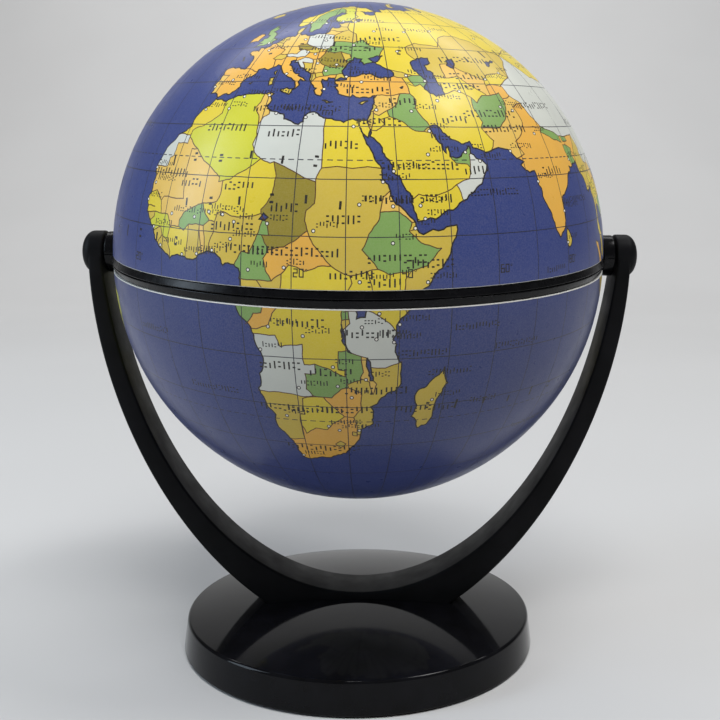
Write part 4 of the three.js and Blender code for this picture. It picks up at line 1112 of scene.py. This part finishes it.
DIGITS = {  # strokes on a grid two wide and four high
    "0": ["0 0,2 0,2 4,0 4,0 0"],
    "2": ["0 4,2 4,2 2,0 2,0 0,2 0"],
    "4": ["0 4,0 2,2 2", "2 4,2 0"],
    "6": ["2 4,0 4,0 0,2 0,2 2,0 2"],
    "8": ["0 0,2 0,2 4,0 4,0 0", "0 2,2 2"],
}
NUMBERED = (-80, -60, -40, -20, 20, 40, 60, 80)  # meridians with their degrees on the equator


def draw_number(sheet, longitude, height):
    """A meridian's degrees beside it, just above the equator, with a small degree ring."""
    above_equator, beside_meridian, pitch = 3.1, 1.2, 3.1
    ring_radius, ring_gap, ring_height, ring_corners, ring_width = 0.55, 0.5, 3.5, 6, 0.09 * MM
    way = direction(longitude, sheet.side * above_equator)
    east, north = upright(way)
    unit = height / 4 / BALL_RADIUS

    def put(x, y):
        return (way + east * x * unit + north * y * unit).normalized()

    start = beside_meridian
    for character in str(abs(longitude)):
        for line in DIGITS[character]:
            sheet.stroke([put(start + x, y) for x, y in lonlat(line)], "mark")
        start += pitch
    angles = [TAU * index / ring_corners for index in range(ring_corners)]
    ring = [put(start + ring_gap + ring_radius * math.cos(a), ring_height + ring_radius * math.sin(a))
            for a in angles]
    sheet.stroke(ring, "mark", ring_width, closed=True)


# marks of a name, all as shares of their height
MARK_PITCH, MARK_THICKNESS, MARK_INDENT = 0.56, 0.2, 0.6
TICK_CHANCE = 0.6
TICKS = ((0.0, 1.0), (0.0, 0.7), (0.3, 1.0))  # the two ends of an upright tick
DASHES = ((0.1, 0.6), (0.3, 0.9), (0.1, 0.9))  # the levels of two stacked dashes
DASH_LENGTH = 0.34


def draw_marks(sheet, longitude, latitude, count, height, rng, spacing=1.0, centred=True):
    """A row of small marks where a real globe has a name: upright ticks and stacked dashes, with
    no letters among them."""
    way = direction(longitude, latitude)
    east, north = upright(way)
    unit = height / BALL_RADIUS
    pitch = MARK_PITCH * unit * spacing
    half_dash = DASH_LENGTH * unit / 2
    start = -count / 2 * pitch if centred else MARK_INDENT * unit

    def put(x, y):
        return (way + east * x + north * (y - 0.5) * unit).normalized()

    for index in range(count):
        x = start + index * pitch
        if rng.random() < TICK_CHANCE:
            low, high = rng.choice(TICKS)
            strokes = [[put(x, low), put(x, high)]]
        else:
            levels = rng.choice(DASHES)
            strokes = [[put(x - half_dash, level), put(x + half_dash, level)] for level in levels]
        for ends in strokes:
            sheet.stroke(ends, "mark", MARK_THICKNESS * height)


def draw_names(sheet):
    """Marks beside each city, and in place of the names of countries, seas and whole regions."""
    rng = random.Random(11)
    from_equator = 1.5  # degrees kept clear
    city_height, city_lift, fewest, most = 0.95 * MM, 1.1, 6, 10
    dot_edge_radius, dot_radius, number_height = 0.36 * MM, 0.21 * MM, 1.25 * MM
    for longitude, latitude in CITIES:
        way = direction(longitude, latitude)
        length = rng.randint(fewest, most)
        if latitude * sheet.side > from_equator:
            draw_marks(sheet, longitude, latitude + city_lift, length, city_height, rng, centred=False)
            sheet.disc(way, dot_edge_radius, "dot_edge")
            sheet.disc(way, dot_radius, "dot")
    # text, mark height, spacing, marks for each letter of the name
    rows = ((COUNTRY_MARKS, 1.4 * MM, 1.05, 1.45), (SEA_MARKS, 1.1 * MM, 1.0, 1.45),
            (REGION_MARKS, 2 * MM, 5.1, 1))
    for text, height, spacing, share in rows:
        for entry in text.split(","):
            longitude, latitude, letters = (float(number) for number in entry.split())
            if latitude * sheet.side > from_equator:
                draw_marks(sheet, longitude, latitude, round(share * letters), height, rng, spacing)
    if sheet.side > 0:
        for longitude in NUMBERED:
            draw_number(sheet, longitude, number_height)


# ---------------------------------------------------------------- colouring a sheet


def inside(outline, places):
    """Which flat places lie inside a closed outline, by the even-odd rule."""
    x, y = places[:, 0], places[:, 1]
    found = np.zeros(len(places), bool)
    for (x1, y1), (x2, y2) in zip(outline, outline[1:] + outline[:1]):
        if y1 != y2:
            crossing = ((y1 > y) != (y2 > y)) & (x < (x2 - x1) * (y - y1) / (y2 - y1) + x1)
            found ^= crossing
    return found


def land_of_each(sheet, centres):
    """Which faces lie on land, by their flat centres. Outlines wholly on the other hemisphere are
    left out, because one of them, laid flat here, would surround this hemisphere."""
    land = np.zeros(len(centres), bool)
    lakes_from = len(COASTS) - len(LAKES)
    for index, coast in enumerate(COASTS):
        outline = [tuple(sheet.flat(direction(*place))) for place in coast]
        if all(math.hypot(*place) > sheet.reach for place in outline):
            continue
        found = inside(outline, centres)
        land = land | found if index < lakes_from else land & ~found
    return land


def region_of_each(faces, passable):
    """Numbers the regions of faces that are joined across passable edges."""
    sides = {}
    for index, face in enumerate(faces):
        if passable[index]:
            for a, b in zip(face, face[1:] + face[:1]):
                sides.setdefault((min(a, b), max(a, b)), []).append(index)
    neighbours = [[] for _ in faces]
    for pair in sides.values():
        if len(pair) == 2:
            neighbours[pair[0]].append(pair[1])
            neighbours[pair[1]].append(pair[0])
    region = [-1] * len(faces)
    for index in range(len(faces)):
        if passable[index] and region[index] < 0:
            region[index] = index
            waiting = [index]
            while waiting:
                for near in neighbours[waiting.pop()]:
                    if region[near] < 0:
                        region[near] = index
                        waiting.append(near)
    return np.array(region)


def face_colours(sheet, places, faces, sources):
    """Linear colour of each face: its topmost ink, or the colour of its sea or country, darkened on the
    southern hemisphere as painted shade. The sources are the numbers of the inked polygons over each
    face."""
    hidden_by_ring, furthest = 1.4, 3  # degrees from the equator, and from a country's place
    covers = [[sheet.inks[source] for source in over] for over in sources]
    ink_level = np.array([max((INK_ORDER.index(ink) for ink in cover), default=-1) for cover in covers])
    wall = np.array([any(ink in WALLS for ink in cover) for cover in covers])
    centres = np.array([sum((places[v] for v in face), Vector((0, 0))) / len(face) for face in faces])
    land = land_of_each(sheet, centres)
    region = region_of_each(faces, list(land & ~wall))
    open_land = np.flatnonzero(land & ~wall)
    colours = np.tile(np.array(OCEAN), (len(faces), 1))
    colours[land] = LAND_INKS["khaki"]
    for name, text in PRINTED.items():
        for longitude, latitude in lonlat(text):
            if latitude * sheet.side < hidden_by_ring:
                continue
            place = np.array(sheet.flat(direction(longitude, latitude)))
            distances = np.linalg.norm(centres[open_land] - place, axis=1)
            if distances.min() < furthest:
                colours[region == region[open_land[distances.argmin()]]] = LAND_INKS[name]
    for level, ink in enumerate(INK_ORDER):
        colours[ink_level == level] = INKS[ink]
    # painted shade: the southern hemisphere's colours are darkened to stand for the shade under the ball
    return colours * (1 if sheet.side > 0 else SOUTH_PAINTED_SHADE_SHARE)


# ---------------------------------------------------------------- printed skins


def flat_ring(radius, count, start=0.0):
    """Flat places evenly round the pole."""
    angles = [TAU * (index + start) / count for index in range(count)]
    return [Vector((radius * math.cos(a), radius * math.sin(a))) for a in angles]


def even_spread(reach, spacing):
    """Places spread evenly over the ball's surface, as rings round the pole of a flat sheet."""
    places = [Vector((0.01, 0.02))]
    rings = int(reach / spacing)
    for ring in range(1, rings + 1):
        radius = ring * reach / (rings + 0.6)
        count = max(6, round(TAU * math.degrees(math.sin(math.radians(radius))) / spacing))
        places += flat_ring(radius, count, (ring % 2) / 2)
    return places


def cut_print(sheet):
    """Places and triangles of the flat print, cut along every line on it, and the numbers of the
    inked polygons over each triangle."""
    rim_count, open_spacing, tolerance = 240, 2.6, 1e-5  # the last two in degrees
    whole = len(sheet.faces)
    rim_face = list(range(len(sheet.places), len(sheet.places) + rim_count))
    points = sheet.places + flat_ring(sheet.reach, rim_count) + even_spread(sheet.reach, open_spacing)
    cut = delaunay_2d_cdt(points, [], [*sheet.faces, rim_face], 0, tolerance, True)
    places, _, faces, _, _, sources = cut
    kept = [index for index, over in enumerate(sources) if whole in over]
    overs = [[source for source in sources[index] if source != whole] for index in kept]
    return places, [list(faces[index]) for index in kept], overs


def rim_loop(faces):
    """The corners round the open edge of a sheet of faces, in the order of its faces."""
    sides = dict.fromkeys((a, b) for face in faces for a, b in zip(face, face[1:] + face[:1]))
    onward = {a: b for a, b in sides if (b, a) not in sides}
    loop = [next(iter(onward))]
    while len(loop) < len(onward):
        loop.append(onward[loop[-1]])
    return loop


def plain_inside(sheet, rim):
    """Places and triangles of the plain inner face, which shares the rim's points."""
    rim_margin, spacing, tolerance = 4, 8, 1e-6
    count = len(rim)
    points = rim + even_spread(sheet.reach - rim_margin, spacing)
    edges = [(index, (index + 1) % count) for index in range(count)]
    places, _, faces, *_ = delaunay_2d_cdt(points, edges, [list(range(count))], 1, tolerance, False)
    return places, faces


def skin_mesh(name, side):
    """Closed thin shell: the printed outside, a plain inside and the narrow edge between them."""
    sheet = Sheet(side)
    draw_graticule(sheet)
    draw_lines(sheet)
    draw_names(sheet)
    places, faces, overs = cut_print(sheet)
    colours = face_colours(sheet, places, faces, overs)
    used = sorted({v for face in faces for v in face})
    renumbered = {v: index for index, v in enumerate(used)}
    faces = [[renumbered[v] for v in face] for face in faces]
    if side < 0:
        faces = [face[::-1] for face in faces]
    loop = rim_loop(faces)
    inner_places, inner_faces = plain_inside(sheet, [places[used[index]] for index in loop])
    raised = [sheet.raised(places[v], BALL_RADIUS) for v in used]
    raised_inner = [sheet.raised(place, BALL_RADIUS - SKIN_THICKNESS) for place in inner_places]
    turn = RING_FRAME.to_3x3()
    outward = [turn @ way for _, way in raised] + [-(turn @ way) for _, way in raised_inner]
    base = len(raised)
    edge_faces = [[after, here, base + index, base + (index + 1) % len(loop)]
                  for index, (here, after) in enumerate(zip(loop, loop[1:] + loop[:1]))]
    inner_faces = [[base + v for v in face] for face in inner_faces]
    if side > 0:
        inner_faces = [face[::-1] for face in inner_faces]
    mesh = bpy.data.meshes.new(name)
    verts = [RING_FRAME @ point for point, _ in raised + raised_inner]
    mesh.from_pydata(verts, [], faces + edge_faces + inner_faces)
    mesh.shade_smooth()
    normals = [outward[v] for face in faces for v in face]
    normals += [turn @ Vector((0, 0, -side))] * sum(len(face) for face in edge_faces)
    normals += [outward[v] for face in inner_faces for v in face]
    mesh.normals_split_custom_set(normals)
    values = [(*colour, 1) for colour, face in zip(colours, faces) for _ in face]
    values += [(*LAND_INKS["pale"], 1)] * (len(normals) - len(values))
    layer = mesh.color_attributes.new("inks", "FLOAT_COLOR", "CORNER")
    layer.data.foreach_set("color", np.array(values, np.float32).ravel())
    return mesh


def build_skins():
    """The two printed films, of one material."""
    finish = printed_skin()
    for name, side, node in (("map_north", 1, "north_map_skin"), ("map_south", -1, "south_map_skin")):
        mesh = skin_mesh(name, side)
        mesh.materials.append(finish)
        add_object(name, mesh, "globe", [node])


# ---------------------------------------------------------------- carried-over nodes


def finish_hidden_nodes():
    """The pieces inside keep their CAD shapes and get their own materials."""
    finishes = {
        cast_iron(): ["steel_weight"],
        inner_black(): ["bottom_plate"],
        foam(): ["foot_pad"],
        white_plastic(): ["north_hub_disc", "south_hub_disc"],
        zinc_steel(): ["plate_screw_1", "plate_screw_2", "plate_screw_3", "fork_screw_left",
                       "fork_screw_right", "hub_screw_1", "hub_screw_2", "hub_screw_3"],
    }
    for material, nodes in finishes.items():
        for node in nodes:
            mesh = frame["nodes"][node].data
            mesh.materials.clear()
            mesh.materials.append(material)


# ---------------------------------------------------------------- stage, light and camera


def build_floor():
    """Plain pale floor that sweeps up into a backdrop. Its sizes are in metres."""
    half_width, near, far, height, bend, bend_steps = 6, -4, 2.2, 4, 1.2, 16
    light, dark, middle, grain = (0.56,) * 3, (0.53,) * 3, (0.54,) * 3, 0.4
    angles = [TAU / 4 * step / bend_steps for step in range(bend_steps + 1)]
    sweep = [(far - bend + bend * math.sin(a), bend - bend * math.cos(a)) for a in angles]
    profile = [(near, 0), (0, 0), *sweep, (far, height)]
    made = bmesh.new()
    rows = [[made.verts.new((x, y, z)) for x in (-half_width, half_width)] for y, z in profile]
    for row, following in zip(rows, rows[1:]):
        made.faces.new([row[0], row[1], following[1], following[0]])
    floor = bpy.data.objects.new("studio_floor", mesh_of(made, "studio_floor", sharp_angle=180))
    s = Surface("studio_floor", middle, 0.7)
    s.colour(s.mixed(s.ranged(s.noise(grain, 2), 0, 1), dark, light))
    floor.data.materials.append(s.material)
    bpy.context.scene.collection.objects.link(floor)


def add_softbox(name, place, size, power, colour=(1, 1, 1), target=PIVOT, mirrored=True):
    """Rectangular lamp aimed at a target. One that isn't mirrored lights the scene without a glint."""
    lamp = bpy.data.lights.new(name, "AREA")
    lamp.shape, lamp.size, lamp.size_y = "RECTANGLE", size[0], size[1]
    lamp.energy, lamp.color = power, colour
    box = bpy.data.objects.new(name, lamp)
    box.location = place
    box.rotation_euler = (Vector(target) - Vector(place)).to_track_quat("-Z", "Y").to_euler()
    box.visible_glossy = mirrored
    bpy.context.scene.collection.objects.link(box)


def build_light():
    """Soft key from the upper right, a broad fill in front, a cool fill at the left and a wash on
    the backdrop, in a dim white room. Places and sizes are in metres, and powers in watts."""
    cool, room_strength = (0.72, 0.86, 1), 0.08
    world = bpy.data.worlds.new("studio")
    world.use_nodes = True
    room = world.node_tree.nodes["Background"]
    room.inputs["Color"].default_value = (1, 1, 1, 1)
    room.inputs["Strength"].default_value = room_strength
    bpy.context.scene.world = world
    bpy.context.scene.view_settings.view_transform = "Standard"
    add_softbox("key", place=(0.5, -0.15, 0.95), size=(0.28, 0.24), power=3)
    add_softbox("front_soft", place=(0.1, -0.62, 1.05), size=(0.7, 0.5), power=10, mirrored=False)
    add_softbox("left_fill", place=(-0.8, -0.2, 0.4), size=(0.3, 0.6), power=3.5, colour=cool)
    add_softbox("front_spark", place=(-0.02, -0.45, 0.95), size=(0.12, 0.04), power=0.3)
    add_softbox("backdrop_wash", place=(0, 0.9, 1.6), size=(2.5, 0.6), power=30, target=(0, 2, 0.2))


def build_camera():
    """Level with the ball, a little to its right, and tipped down by shift as a view camera is."""
    place = PIVOT + Vector((6.6, -196.3, 1.9)) * MM
    aim = PIVOT + Vector((9.0, 0, -9.6)) * MM
    roll = math.radians(0.45)
    camera = bpy.data.cameras.new("camera")
    camera.sensor_width, camera.lens = 36, 46.4
    camera.shift_x, camera.shift_y = -0.0602, -0.0844
    camera.clip_start, camera.clip_end = 0.01, 20
    holder = bpy.data.objects.new("camera", camera)
    turn = (aim - place).to_track_quat("-Z", "Y").to_matrix() @ Matrix.Rotation(roll, 3, "Z")
    holder.matrix_world = Matrix.Translation(place) @ turn.to_4x4()
    bpy.context.scene.collection.objects.link(holder)
    bpy.context.scene.camera = holder


# ---------------------------------------------------------------- scene

build_camera()
build_light()
build_floor()
build_base()
build_fork()
build_ring()
build_shells()
build_skins()
finish_hidden_nodes()
